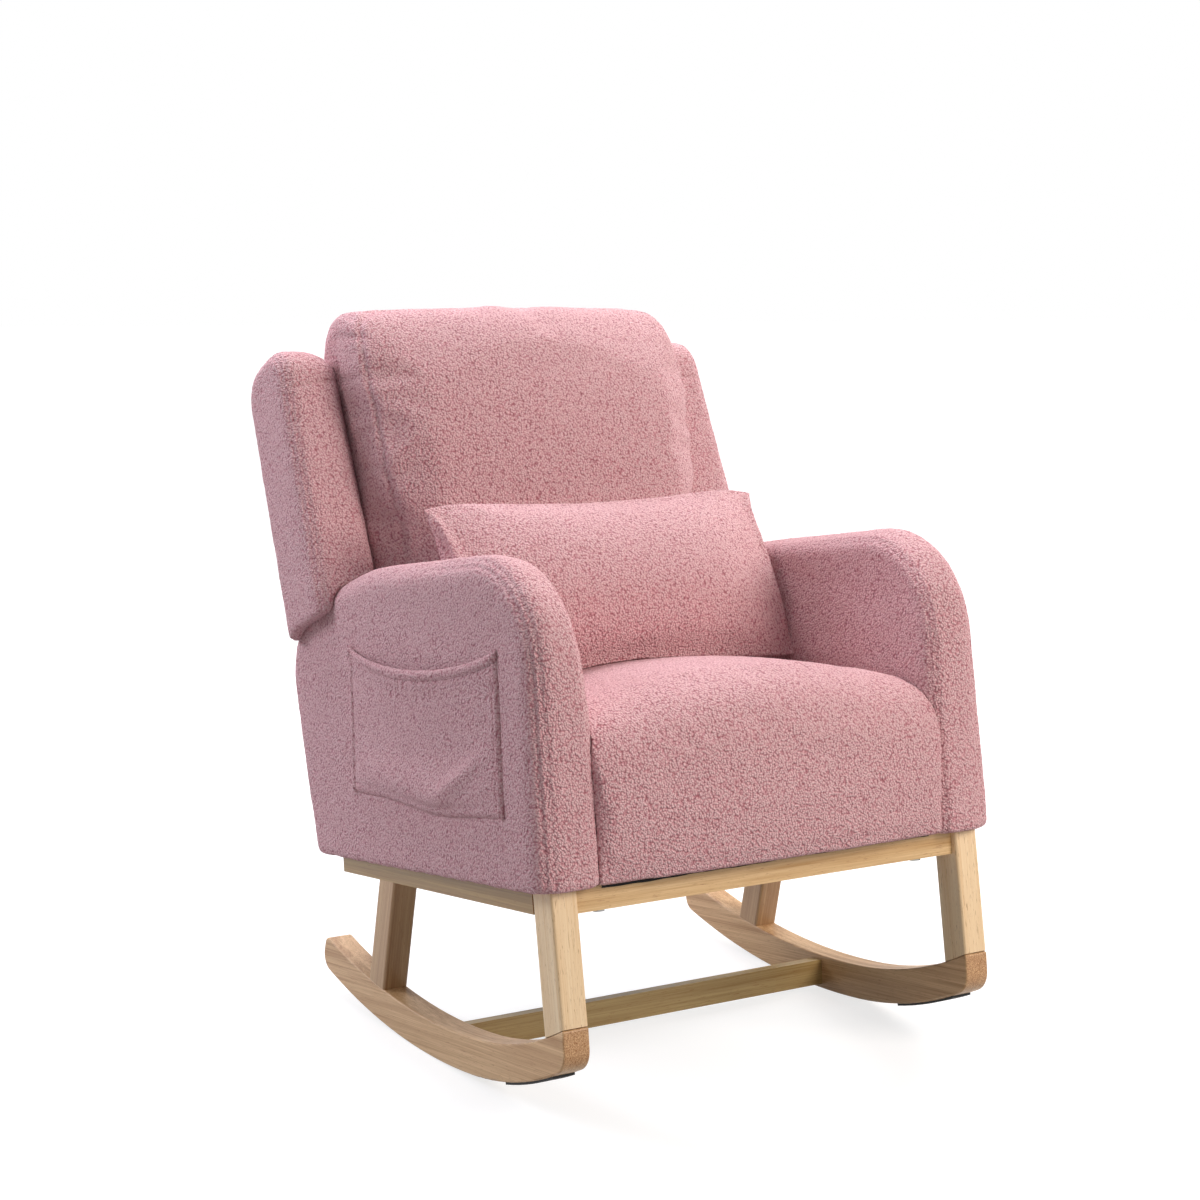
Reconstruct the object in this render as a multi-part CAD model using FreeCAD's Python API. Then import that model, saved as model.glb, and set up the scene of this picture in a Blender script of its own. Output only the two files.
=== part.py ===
import FreeCAD, Part
import math
import os

os.makedirs("parts", exist_ok=True)
V = FreeCAD.Vector

# Driving dimensions, in mm and degrees. The chair is drawn level: x runs to the sitter's left, y to
# the back, and z = 0 is the floor under the point where the two arcs of the rockers meet.

# Stance
REST_TILT = 7.4

# Rocker base
BASE_WIDTH = 660.0
LEG_WIDTH = 37.0
ROCKER_FRONT_RADIUS = 640.0
ROCKER_REAR_RADIUS = 1150.0
ROCKER_HEIGHT = 48.5
ROCKER_FRONT_Y = -240.0
ROCKER_REAR_Y = 440.0
ROCKER_TIP_RAKE = 18.0
ROCKER_TOE_ROUND = 30.0
ROCKER_TAIL_ROUND = 22.0
ROCKER_EASE = 2.5
SEAT_BASE = 258.0
RAIL_HEIGHT = 30.0
RAIL_THICKNESS = 30.0
RAIL_SETBACK = 8.0
SIDE_RAIL_END_Y = 347.0
REAR_RAIL_Y = 236.0
FRONT_LEG_Y = -231.0
FRONT_LEG_DEPTH = 46.0
FRONT_LEG_RAKE = 3.0
REAR_LEG_Y = 190.0
REAR_LEG_DEPTH = 47.0
REAR_LEG_RAKE = 19.5
LEG_EASE = 4.0
STRETCHER_Y = 83.0
STRETCHER_THICKNESS = 21.0
STRETCHER_HEIGHT = 35.0
STRETCHER_DROP = 6.0
PAD_LENGTH = 120.0
PAD_WIDTH = 31.0
PAD_THICKNESS = 3.0
PAD_SETBACK = 35.0
GLUE_LINE = 0.2

# Fasteners
DOWEL = 10.0
DOWEL_LENGTH = 44.0
SMALL_DOWEL = 8.0
SMALL_DOWEL_LENGTH = 40.0
BOLT = 8.0
BOLT_HEAD = 15.0
BOLT_HEAD_HEIGHT = 5.0
INSERT = 12.0
INSERT_LENGTH = 18.0
HOLE_CLEARANCE = 0.3

# Arms
OVERALL_WIDTH = 690.0
ARM_THICKNESS = 87.0
ARM_FRONT_Y = -248.0
ARM_FRONT_LEAN = 9.0
ARM_FRONT_TOP = 667.0
ARM_FRONT_ROUND = 142.0
ARM_BEND_Y = 210.0
ARM_BEND_TOP = 650.0
ARM_BEND_ROUND = 500.0
ARM_REAR_Y = 470.0
ARM_REAR_TOP = 588.0
ARM_REAR_ROUND = 110.0
ARM_FOOT_Y = 387.0
ARM_SOFT_EDGE = 24.0
ARM_FRAME_THICKNESS = 18.0
ARM_FRAME_INSET = 30.0
ARM_BOLT_HEIGHT = 34.0
ARM_BOLTS_Y = (-110.0, 170.0)

# Pockets
POCKET_FRONT_Y = -161.0
POCKET_REAR_Y = 245.0
POCKET_BOTTOM = 346.0
POCKET_TOP = 548.0
POCKET_DIP = 29.0
POCKET_SWELL = 18.0
POCKET_WALL = 4.0
POCKET_SEAM = 8.0

# Seat
SEAT_BOX_FRONT_Y = -212.0
SEAT_BOX_REAR_Y = 264.0
SEAT_BOX_HEIGHT = 66.0
SEAT_BOX_THICKNESS = 22.0
CORNER_BLOCK = 60.0
STRAP_WIDTH = 50.0
STRAP_THICKNESS = 2.0
SEAT_FRONT_Y = -241.0
SEAT_FRONT_SWELL = 8.0
SEAT_ROLL = 95.0
SEAT_SIDE_TOP = 470.0
SEAT_CROWN = 40.0
SEAT_CREST_Y = -60.0
SEAT_REAR_FALL = 40.0
SOFT_GAP = 0.4
DUST_COVER_THICKNESS = 1.0

# Back
BACK_FOOT_Y = 264.5
RECLINE = 17.5
POST_OUTER_X = 250.0
POST_WIDTH = 24.0
POST_DEPTH = 45.0
POST_HEIGHT = 688.0
BACK_RAIL_HEIGHT = 45.0
BACK_RAIL_THICKNESS = 20.0
BACK_PAD_THICKNESS = 6.0
WING_INNER_X = 264.0
WING_FOOT_X = 369.0
WING_HEAD_X = 354.0
WING_FRONT = -78.0
WING_REAR = 60.0
WING_TOP = 729.0
WING_BOTTOM = 295.0
WING_FRONT_ROUND = 46.0
WING_REAR_ROUND = 52.0
WING_SOFT_EDGE = 22.0
WING_COVER = 10.0
WING_FRAME_THICKNESS = 12.0
WING_FRAME_INSET = 22.0
WING_FRAME_BOTTOM = 396.0
SPACER_BOTTOM = 390.0
BRACKET_BOTTOM = 140.0
BRACKET_HEIGHT = 70.0
BRACKET_TOP_WIDTH = 30.0
BRACKET_FOOT_WIDTH = 20.0
BRACKET_TONGUE = 3.5
BRACKET_PLATE = 4.0

# Loose cushions
CUSHION_BOTTOM = 208.0
CUSHION_TOP = 771.0
CUSHION_DEPTH = 145.0
CUSHION_CROWN = 20.0
CUSHION_CORNER = 26.0
CUSHION_COVER = 5.0
PILLOW_LENGTH = 506.0
PILLOW_HEIGHT = 260.0
PILLOW_THICKNESS = 150.0
PILLOW_LEAN = 23.3
PILLOW_FOOT_Y = 63.0
PILLOW_LIFT = 4.0
PILLOW_COVER = 5.0

# Sizes that follow from them
half_base = BASE_WIDTH / 2
half_arms = OVERALL_WIDTH / 2
half_seat = half_arms - ARM_THICKNESS
leg_inner_x = half_base - LEG_WIDTH
rail_bottom = SEAT_BASE - RAIL_HEIGHT
box_top = SEAT_BASE + SEAT_BOX_HEIGHT
pieces = {}


# Helpers for outlines, prisms, pegs and mirrored pairs
def rounded_face(x, corners):
    """A face in the plane x whose corners are (y, z, radius)."""
    count = len(corners)
    ends = []
    for i, (y, z, radius) in enumerate(corners):
        here = V(x, y, z)
        before = corners[i - 1]
        after = corners[(i + 1) % count]
        back = (V(x, before[0], before[1]) - here).normalize()
        on = (V(x, after[0], after[1]) - here).normalize()
        half = back.getAngle(on) / 2
        reach = radius / math.tan(half)
        middle = here + (back + on).normalize() * (radius / math.sin(half) - radius)
        ends.append((here + back * reach, middle, here + on * reach, radius))
    edges = []
    for i in range(count):
        start, middle, stop, radius = ends[i]
        if radius > 0:
            edges.append(Part.Arc(start, middle, stop).toShape())
        edges.append(Part.makeLine(stop, ends[(i + 1) % count][0]))
    return Part.Face(Part.Wire(edges))


def prism(corners, x0, x1):
    return rounded_face(x0, corners).extrude(V(x1 - x0, 0, 0))


def block(x0, x1, y0, y1, z0, z1):
    return Part.makeBox(x1 - x0, y1 - y0, z1 - z0, V(x0, y0, z0))


def edges_at_x(shape, x, lowest):
    """The edges in the plane x that don't lie along the bottom."""
    found = []
    for edge in shape.Edges:
        box = edge.BoundBox
        flat = abs(box.XMin - x) < 1e-4 and abs(box.XMax - x) < 1e-4
        if flat and box.ZMax > lowest + 1e-3:
            found.append(edge)
    return found


def cross_edges_near(shape, y, z):
    """The edges along x that pass through (y, z)."""
    found = []
    for edge in shape.Edges:
        box = edge.BoundBox
        near = abs(box.YMin - y) < 0.01 and abs(box.ZMin - z) < 0.01
        if near and box.XLength > 1.0:
            found.append(edge)
    return found


def mirrored(shape):
    return shape.mirror(V(0, 0, 0), V(1, 0, 0))


def add_pair(name, shape):
    pieces[name + "_left"] = shape
    pieces[name + "_right"] = mirrored(shape)


def rod(diameter, length, base, direction):
    return Part.makeCylinder(diameter / 2, length, base, direction)


def peg(names, middle, direction, diameter, length):
    """A blind dowel with its holes cut in the pieces that it joins."""
    along = V(direction).normalize()
    hole_length = length + 2.0
    hole = rod(diameter + HOLE_CLEARANCE, hole_length, middle - along * (hole_length / 2), along)
    for name in names:
        pieces[name] = pieces[name].cut(hole)
    return rod(diameter, length, middle - along * (length / 2), along)


# Rockers: two arcs that meet at the lowest point, the same height all along
def rocker_z(y):
    radius = ROCKER_FRONT_RADIUS if y < 0 else ROCKER_REAR_RADIUS
    return radius - math.sqrt(radius * radius - y * y)


def rocker_arc(x, y0, y1, lift):
    middle = (y0 + y1) / 2
    points = [V(x, y, rocker_z(y) + lift) for y in (y0, middle, y1)]
    return Part.Arc(*points).toShape()


def rocker_point(x, y, lift):
    return V(x, y, rocker_z(y) + lift)


tip_top_y = ROCKER_REAR_Y - ROCKER_TIP_RAKE
rocker_edges = [
    rocker_arc(leg_inner_x, ROCKER_FRONT_Y, 0, 0),
    rocker_arc(leg_inner_x, 0, ROCKER_REAR_Y, 0),
    Part.makeLine(
        rocker_point(leg_inner_x, ROCKER_REAR_Y, 0),
        rocker_point(leg_inner_x, tip_top_y, ROCKER_HEIGHT),
    ),
    rocker_arc(leg_inner_x, tip_top_y, 0, ROCKER_HEIGHT),
    rocker_arc(leg_inner_x, 0, ROCKER_FRONT_Y, ROCKER_HEIGHT),
    Part.makeLine(
        rocker_point(leg_inner_x, ROCKER_FRONT_Y, ROCKER_HEIGHT),
        rocker_point(leg_inner_x, ROCKER_FRONT_Y, 0),
    ),
]
rocker = Part.Face(Part.Wire(rocker_edges)).extrude(V(LEG_WIDTH, 0, 0))
rocker_corners = (
    (ROCKER_FRONT_Y, rocker_z(ROCKER_FRONT_Y), ROCKER_TOE_ROUND),
    (ROCKER_FRONT_Y, rocker_z(ROCKER_FRONT_Y) + ROCKER_HEIGHT, ROCKER_EASE + 0.5),
    (ROCKER_REAR_Y, rocker_z(ROCKER_REAR_Y), ROCKER_TAIL_ROUND),
    (tip_top_y, rocker_z(tip_top_y) + ROCKER_HEIGHT, ROCKER_TAIL_ROUND / 2),
)
for corner_y, corner_z, radius in rocker_corners:
    rocker = rocker.makeFillet(radius, cross_edges_near(rocker, corner_y, corner_z))
for side_x in (leg_inner_x, half_base):
    rocker = rocker.makeFillet(ROCKER_EASE, edges_at_x(rocker, side_x, -1.0))
add_pair("rocker", rocker)

# Legs: raked posts whose feet are cut to the top of the rocker
below_rocker_top = Part.Face(
    Part.Wire(
        [
            rocker_arc(0, ROCKER_FRONT_Y - 60, 0, ROCKER_HEIGHT + GLUE_LINE),
            rocker_arc(0, 0, ROCKER_REAR_Y + 60, ROCKER_HEIGHT + GLUE_LINE),
            Part.makePolygon(
                [
                    rocker_point(0, ROCKER_REAR_Y + 60, ROCKER_HEIGHT + GLUE_LINE),
                    V(0, ROCKER_REAR_Y + 60, -200),
                    V(0, ROCKER_FRONT_Y - 60, -200),
                    rocker_point(0, ROCKER_FRONT_Y - 60, ROCKER_HEIGHT + GLUE_LINE),
                ]
            ),
        ]
    )
).extrude(V(half_base + 10, 0, 0))


def leg_lean(z, top, rake):
    return (top - z) * math.tan(math.radians(rake))


def raked_leg(y, depth, top, rake):
    shift = leg_lean(0, top, rake)
    corners = [(y, top, 0), (y + depth, top, 0), (y + depth + shift, 0, 0), (y + shift, 0, 0)]
    leg = prism(corners, leg_inner_x, half_base)
    long_edges = [edge for edge in leg.Edges if edge.BoundBox.ZLength > top / 2]
    return leg.makeFillet(LEG_EASE, long_edges).cut(below_rocker_top)


add_pair("front_leg", raked_leg(FRONT_LEG_Y, FRONT_LEG_DEPTH, SEAT_BASE, -FRONT_LEG_RAKE))
add_pair("rear_leg", raked_leg(REAR_LEG_Y, REAR_LEG_DEPTH, rail_bottom, REAR_LEG_RAKE))

# Rails: side rails flush with the legs, front and rear rails between them
leg_back_y = FRONT_LEG_Y + FRONT_LEG_DEPTH
side_rail_corners = [
    (leg_back_y + leg_lean(rail_bottom, SEAT_BASE, -FRONT_LEG_RAKE), rail_bottom, 0),
    (SIDE_RAIL_END_Y, rail_bottom, 0),
    (SIDE_RAIL_END_Y, SEAT_BASE, 0),
    (leg_back_y, SEAT_BASE, 0),
]
add_pair("side_rail", prism(side_rail_corners, half_base - RAIL_THICKNESS, half_base))
front_rail_y = FRONT_LEG_Y + RAIL_SETBACK
rear_rail_x = half_base - RAIL_THICKNESS
pieces["front_rail"] = block(
    -leg_inner_x, leg_inner_x, front_rail_y, front_rail_y + RAIL_THICKNESS, rail_bottom, SEAT_BASE
)
pieces["rear_rail"] = block(
    -rear_rail_x, rear_rail_x, REAR_RAIL_Y, REAR_RAIL_Y + RAIL_THICKNESS, rail_bottom, SEAT_BASE
)

# Stretcher between the rockers
stretcher_top = rocker_z(STRETCHER_Y) + ROCKER_HEIGHT - STRETCHER_DROP
stretcher_middle_y = STRETCHER_Y + STRETCHER_THICKNESS / 2
pieces["stretcher"] = block(
    -leg_inner_x,
    leg_inner_x,
    STRETCHER_Y,
    STRETCHER_Y + STRETCHER_THICKNESS,
    stretcher_top - STRETCHER_HEIGHT,
    stretcher_top,
)

# Pads: thin strips under the front of the rockers
pad_x = half_base - LEG_WIDTH / 2 - PAD_WIDTH / 2
pad_front_y = ROCKER_FRONT_Y + PAD_SETBACK
pad_rear_y = pad_front_y + PAD_LENGTH
pad_low = -GLUE_LINE - PAD_THICKNESS
pad_edges = [
    rocker_arc(pad_x, pad_front_y, pad_rear_y, -GLUE_LINE),
    Part.makeLine(
        rocker_point(pad_x, pad_rear_y, -GLUE_LINE), rocker_point(pad_x, pad_rear_y, pad_low)
    ),
    rocker_arc(pad_x, pad_rear_y, pad_front_y, pad_low),
    Part.makeLine(
        rocker_point(pad_x, pad_front_y, pad_low), rocker_point(pad_x, pad_front_y, -GLUE_LINE)
    ),
]
pad = Part.Face(Part.Wire(pad_edges)).extrude(V(PAD_WIDTH, 0, 0))
pieces["rocker_pads"] = Part.makeCompound([pad, mirrored(pad)])

# Seat box: four boards on the base rails, with glued blocks in the corners
box_inner_x = half_seat - SEAT_BOX_THICKNESS
box_front_inner = SEAT_BOX_FRONT_Y + SEAT_BOX_THICKNESS
box_rear_inner = SEAT_BOX_REAR_Y - SEAT_BOX_THICKNESS
add_pair(
    "seat_box",
    block(box_inner_x, half_seat, SEAT_BOX_FRONT_Y, SEAT_BOX_REAR_Y, SEAT_BASE, box_top),
)
pieces["seat_box_front"] = block(
    -box_inner_x, box_inner_x, SEAT_BOX_FRONT_Y, box_front_inner, SEAT_BASE, box_top
)
pieces["seat_box_rear"] = block(
    -box_inner_x, box_inner_x, box_rear_inner, SEAT_BOX_REAR_Y, SEAT_BASE, box_top
)
corner_blocks = []
for corner_y, turn in ((box_front_inner, 1), (box_rear_inner, -1)):
    triangle = Part.makePolygon(
        [
            V(box_inner_x, corner_y, SEAT_BASE + 10),
            V(box_inner_x - CORNER_BLOCK, corner_y, SEAT_BASE + 10),
            V(box_inner_x, corner_y + turn * CORNER_BLOCK, SEAT_BASE + 10),
            V(box_inner_x, corner_y, SEAT_BASE + 10),
        ]
    )
    corner_block = Part.Face(triangle).extrude(V(0, 0, SEAT_BOX_HEIGHT - 30))
    corner_blocks += [corner_block, mirrored(corner_block)]
pieces["corner_blocks"] = Part.makeCompound(corner_blocks)

# Seat webbing: lengthwise straps on the box, crosswise straps on top of them
straps = []
for share in (-0.7, -0.35, 0.0, 0.35, 0.7):
    x = share * box_inner_x
    straps.append(
        block(
            x - STRAP_WIDTH / 2,
            x + STRAP_WIDTH / 2,
            SEAT_BOX_FRONT_Y + 4,
            SEAT_BOX_REAR_Y - 4,
            box_top,
            box_top + STRAP_THICKNESS,
        )
    )
for share in (0.2, 0.4, 0.6, 0.8):
    y = box_front_inner + share * (box_rear_inner - box_front_inner)
    straps.append(
        block(
            -half_seat + 4,
            half_seat - 4,
            y - STRAP_WIDTH / 2,
            y + STRAP_WIDTH / 2,
            box_top + STRAP_THICKNESS,
            box_top + 2 * STRAP_THICKNESS,
        )
    )
pieces["seat_webbing"] = Part.makeCompound(straps)


# Seat cushion: one piece, crowned across, that rolls over the front and down to the rail
def crown_at(x):
    return max(0.0, 1 - (x / half_seat) ** 2)


def seat_top(x, y):
    fall = SEAT_REAR_FALL * max(0.0, y - SEAT_CREST_Y) / (SEAT_BOX_REAR_Y - SEAT_CREST_Y)
    return SEAT_SIDE_TOP + SEAT_CROWN * crown_at(x) - fall


def seat_section(x):
    front = SEAT_FRONT_Y - SEAT_FRONT_SWELL * crown_at(x)
    crest = seat_top(x, SEAT_CREST_Y)
    roll = V(x, front, crest - SEAT_ROLL)
    shoulder = V(x, front + 0.3 * SEAT_ROLL, crest - 0.29 * SEAT_ROLL)
    top_start = V(x, front + SEAT_ROLL, crest - 4.0)
    rear_y = SEAT_BOX_REAR_Y - SOFT_GAP
    underside = box_top + 2 * STRAP_THICKNESS + SOFT_GAP
    box_front = SEAT_BOX_FRONT_Y - SOFT_GAP
    corners = [
        V(x, rear_y, seat_top(x, rear_y)),
        V(x, rear_y, underside),
        V(x, box_front, underside),
        V(x, box_front, SEAT_BASE),
        V(x, front, SEAT_BASE),
        roll,
    ]
    edges = [
        Part.Arc(roll, shoulder, top_start).toShape(),
        Part.Arc(top_start, V(x, SEAT_CREST_Y, crest), corners[0]).toShape(),
    ]
    for start, stop in zip(corners, corners[1:]):
        edges.append(Part.makeLine(start, stop))
    return Part.Wire(edges)


seat_edge_x = half_seat - SOFT_GAP
seat_stations = [share * seat_edge_x for share in (-1.0, -0.7, 0.0, 0.7, 1.0)]
pieces["seat_cushion"] = Part.makeLoft([seat_section(x) for x in seat_stations], True, False)

# Dust cover: a thin sheet stretched under the seat box, inside the base rails
pieces["dust_cover"] = block(
    -half_seat,
    half_seat,
    front_rail_y + RAIL_THICKNESS,
    REAR_RAIL_Y,
    SEAT_BASE - DUST_COVER_THICKNESS,
    SEAT_BASE,
)


# Arms: a plywood panel inside a padded cover with soft edges
def arm_corners(inset):
    front_top_y = ARM_FRONT_Y + ARM_FRONT_LEAN + inset
    return [
        (ARM_FRONT_Y + inset, SEAT_BASE, 0),
        (front_top_y, ARM_FRONT_TOP - inset, ARM_FRONT_ROUND - inset),
        (ARM_BEND_Y, ARM_BEND_TOP - inset, ARM_BEND_ROUND - inset),
        (ARM_REAR_Y - inset, ARM_REAR_TOP - inset, ARM_REAR_ROUND - inset),
        (ARM_FOOT_Y - inset, SEAT_BASE, 0),
    ]


arm_frame_x = leg_inner_x + 4.0
arm_frame = prism(arm_corners(ARM_FRAME_INSET), arm_frame_x, arm_frame_x + ARM_FRAME_THICKNESS)
arm_form = prism(arm_corners(0), half_seat, half_arms)
for side_x in (half_seat, half_arms):
    arm_form = arm_form.makeFillet(ARM_SOFT_EDGE, edges_at_x(arm_form, side_x, SEAT_BASE))
arm_slot = prism(
    arm_corners(ARM_FRAME_INSET - SOFT_GAP), arm_frame_x, arm_frame_x + ARM_FRAME_THICKNESS
)
add_pair("arm_frame", arm_frame)
add_pair("arm_pad", arm_form.cut(arm_slot))


# Pockets: a slack patch on the outside of each arm, open along its dipped top edge
def pocket_section(z, swell, step, seam):
    front = POCKET_FRONT_Y + seam
    rear = POCKET_REAR_Y - seam
    middle = (front + rear) / 2
    start = V(half_arms + step, front, z)
    stop = V(half_arms + step, rear, z)
    edges = [Part.Arc(start, V(half_arms + swell, middle, z), stop).toShape()]
    if step > 0:
        edges.append(Part.makeLine(stop, V(half_arms, rear, z)))
    edges.append(Part.makeLine(V(half_arms, rear, z), V(half_arms, front, z)))
    if step > 0:
        edges.append(Part.makeLine(V(half_arms, front, z), start))
    return Part.Wire(edges)


pocket_height = POCKET_TOP - POCKET_BOTTOM
pocket_outer = []
for share, swell in ((0.0, 0.42), (0.15, 0.78), (0.45, 1.0), (1.0, 1.0)):
    z = POCKET_BOTTOM + share * pocket_height
    pocket_outer.append(pocket_section(z, swell * POCKET_SWELL, POCKET_WALL, 0))
pocket_hollow = []
for share, swell in ((0.04, 0.2), (0.18, 0.56), (0.45, 0.78), (1.1, 0.78)):
    z = POCKET_BOTTOM + share * pocket_height
    pocket_hollow.append(pocket_section(z, swell * POCKET_SWELL, 0, POCKET_SEAM))
pocket = Part.makeLoft(pocket_outer, True, False).cut(Part.makeLoft(pocket_hollow, True, False))
pocket_middle_y = (POCKET_FRONT_Y + POCKET_REAR_Y) / 2
mouth_left = V(half_arms - 5, POCKET_FRONT_Y - 1, POCKET_TOP)
mouth_right = V(half_arms - 5, POCKET_REAR_Y + 1, POCKET_TOP)
mouth_low = V(half_arms - 5, pocket_middle_y, POCKET_TOP - POCKET_DIP)
lift = V(0, 0, 2 * POCKET_DIP)
mouth = Part.Wire(
    [
        Part.Arc(mouth_left, mouth_low, mouth_right).toShape(),
        Part.makePolygon([mouth_right, mouth_right + lift, mouth_left + lift, mouth_left]),
    ]
)
add_pair("pocket", pocket.cut(Part.Face(mouth).extrude(V(3 * POCKET_SWELL, 0, 0))))


# Back: drawn upright on its foot, then reclined about it
def reclined(shape):
    shape.rotate(V(0, 0, 0), V(1, 0, 0), -RECLINE)
    shape.translate(V(0, BACK_FOOT_Y, SEAT_BASE))
    return shape


post_inner_x = POST_OUTER_X - POST_WIDTH
back_rear = POST_DEPTH + BACK_PAD_THICKNESS
add_pair(
    "back_post",
    reclined(block(post_inner_x, POST_OUTER_X, 0, POST_DEPTH, 2, POST_HEIGHT)),
)
back_rails = (
    ("back_bottom_rail", 20.0),
    ("back_middle_rail", 330.0),
    ("back_top_rail", POST_HEIGHT - BACK_RAIL_HEIGHT),
)
for name, low in back_rails:
    pieces[name] = reclined(
        block(-post_inner_x, post_inner_x, 5, 5 + BACK_RAIL_THICKNESS, low, low + BACK_RAIL_HEIGHT)
    )
back_straps = []
for low in (250.0, 350.0, 450.0, 550.0):
    strap = block(
        -POST_OUTER_X + 2, POST_OUTER_X - 2, -STRAP_THICKNESS, 0, low, low + STRAP_WIDTH
    )
    back_straps.append(reclined(strap))
pieces["back_webbing"] = Part.makeCompound(back_straps)
back_half_x = WING_INNER_X - SOFT_GAP
back_top = POST_HEIGHT + BACK_PAD_THICKNESS
back_pad = block(-POST_OUTER_X, POST_OUTER_X, POST_DEPTH, back_rear, 2, SPACER_BOTTOM)
back_wide = block(-back_half_x, back_half_x, POST_DEPTH, back_rear, SPACER_BOTTOM, POST_HEIGHT)
back_cap = block(-back_half_x, back_half_x, 0, back_rear, POST_HEIGHT, back_top)
pieces["back_pad"] = reclined(back_pad.fuse([back_wide, back_cap]).removeSplitter())

# Wings: a padded hollow cheek spaced off each post, narrower at its head, its foot shaped to the arm
wing_spacer = block(POST_OUTER_X, WING_INNER_X, 0, POST_DEPTH, SPACER_BOTTOM, POST_HEIGHT)
wing_spacer = reclined(wing_spacer)
pieces["wing_spacers"] = Part.makeCompound([wing_spacer, mirrored(wing_spacer)])
wing_corners = [
    (WING_FRONT, WING_BOTTOM, 0),
    (WING_FRONT, WING_TOP, WING_FRONT_ROUND),
    (WING_REAR, WING_TOP, WING_REAR_ROUND),
    (WING_REAR, WING_BOTTOM, 0),
]
outer_foot = V(WING_FOOT_X, WING_FRONT, WING_BOTTOM)
outer_head = V(WING_HEAD_X, WING_FRONT, WING_TOP)
outer_waste = Part.makePolygon(
    [outer_foot, outer_head, outer_head + V(100, 0, 0), outer_foot + V(100, 0, 0), outer_foot]
)
outer_waste = Part.Face(outer_waste).extrude(V(0, WING_REAR - WING_FRONT, 0))
wing_form = prism(wing_corners, WING_INNER_X, WING_FOOT_X).cut(outer_waste)
outer_normal = V(WING_TOP - WING_BOTTOM, 0, WING_FOOT_X - WING_HEAD_X).normalize()
soft_edges = edges_at_x(wing_form, WING_INNER_X, WING_BOTTOM)
for face in wing_form.Faces:
    if face.normalAt(0, 0).dot(outer_normal) > 0.99999:
        soft_edges += [edge for edge in face.Edges if edge.BoundBox.ZMax > WING_BOTTOM + 1]
wing_form = wing_form.makeFillet(WING_SOFT_EDGE, soft_edges)
wing_frame_corners = [
    (WING_FRONT + WING_FRAME_INSET, WING_FRAME_BOTTOM, 0),
    (WING_FRONT + WING_FRAME_INSET, WING_TOP - WING_FRAME_INSET, WING_FRONT_ROUND - WING_FRAME_INSET),
    (POST_DEPTH, WING_TOP - WING_FRAME_INSET, WING_REAR_ROUND - WING_FRAME_INSET),
    (POST_DEPTH, WING_FRAME_BOTTOM, 0),
]
wing_frame = prism(wing_frame_corners, WING_INNER_X, WING_INNER_X + WING_FRAME_THICKNESS)
hollow_bottom = WING_FRAME_BOTTOM + WING_COVER
wing_hollow_corners = [
    (WING_FRONT + WING_COVER, hollow_bottom, 0),
    (WING_FRONT + WING_COVER, WING_TOP - WING_COVER, WING_FRONT_ROUND - WING_COVER),
    (WING_REAR - WING_COVER, WING_TOP - WING_COVER, WING_REAR_ROUND - WING_COVER),
    (WING_REAR - WING_COVER, hollow_bottom, 0),
]
wing_hollow = prism(wing_hollow_corners, WING_INNER_X + WING_FRAME_THICKNESS, WING_FOOT_X)
outer_waste.translate(V(-WING_COVER, 0, 0))
wing_pad = reclined(wing_form.cut(wing_frame).cut(wing_hollow.cut(outer_waste)))
arm_clear = prism(arm_corners(-SOFT_GAP), WING_INNER_X - 10, WING_FOOT_X + 10)
add_pair("wing_frame", reclined(wing_frame))
add_pair("wing_pad", wing_pad.cut(arm_clear))

# Brackets: wedge tongues on the posts slide down into sockets on the arms
tongue_middle = POST_DEPTH / 2
bracket_top = BRACKET_BOTTOM + BRACKET_HEIGHT
tongue_corners = [
    (tongue_middle - BRACKET_FOOT_WIDTH / 2, BRACKET_BOTTOM, 0),
    (tongue_middle + BRACKET_FOOT_WIDTH / 2, BRACKET_BOTTOM, 0),
    (tongue_middle + BRACKET_TOP_WIDTH / 2, bracket_top, 0),
    (tongue_middle - BRACKET_TOP_WIDTH / 2, bracket_top, 0),
]
tongue = prism(tongue_corners, POST_OUTER_X, POST_OUTER_X + BRACKET_TONGUE)
tongue_channel = [
    (tongue_middle - BRACKET_FOOT_WIDTH / 2 - SOFT_GAP, BRACKET_BOTTOM - 1, 0),
    (tongue_middle + BRACKET_FOOT_WIDTH / 2 + SOFT_GAP, BRACKET_BOTTOM - 1, 0),
    (tongue_middle + BRACKET_TOP_WIDTH / 2 + SOFT_GAP, bracket_top + 1, 0),
    (tongue_middle - BRACKET_TOP_WIDTH / 2 - SOFT_GAP, bracket_top + 1, 0),
]
plate_x = half_seat - BRACKET_PLATE
plate = block(POST_OUTER_X + SOFT_GAP, half_seat, 0, POST_DEPTH, BRACKET_BOTTOM, bracket_top)
socket = plate.cut(prism(tongue_channel, POST_OUTER_X, plate_x))
tongue = reclined(tongue)
socket = reclined(socket)
pieces["bracket_tongues"] = Part.makeCompound([tongue, mirrored(tongue)])
pieces["bracket_sockets"] = Part.makeCompound([socket, mirrored(socket)])


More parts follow.
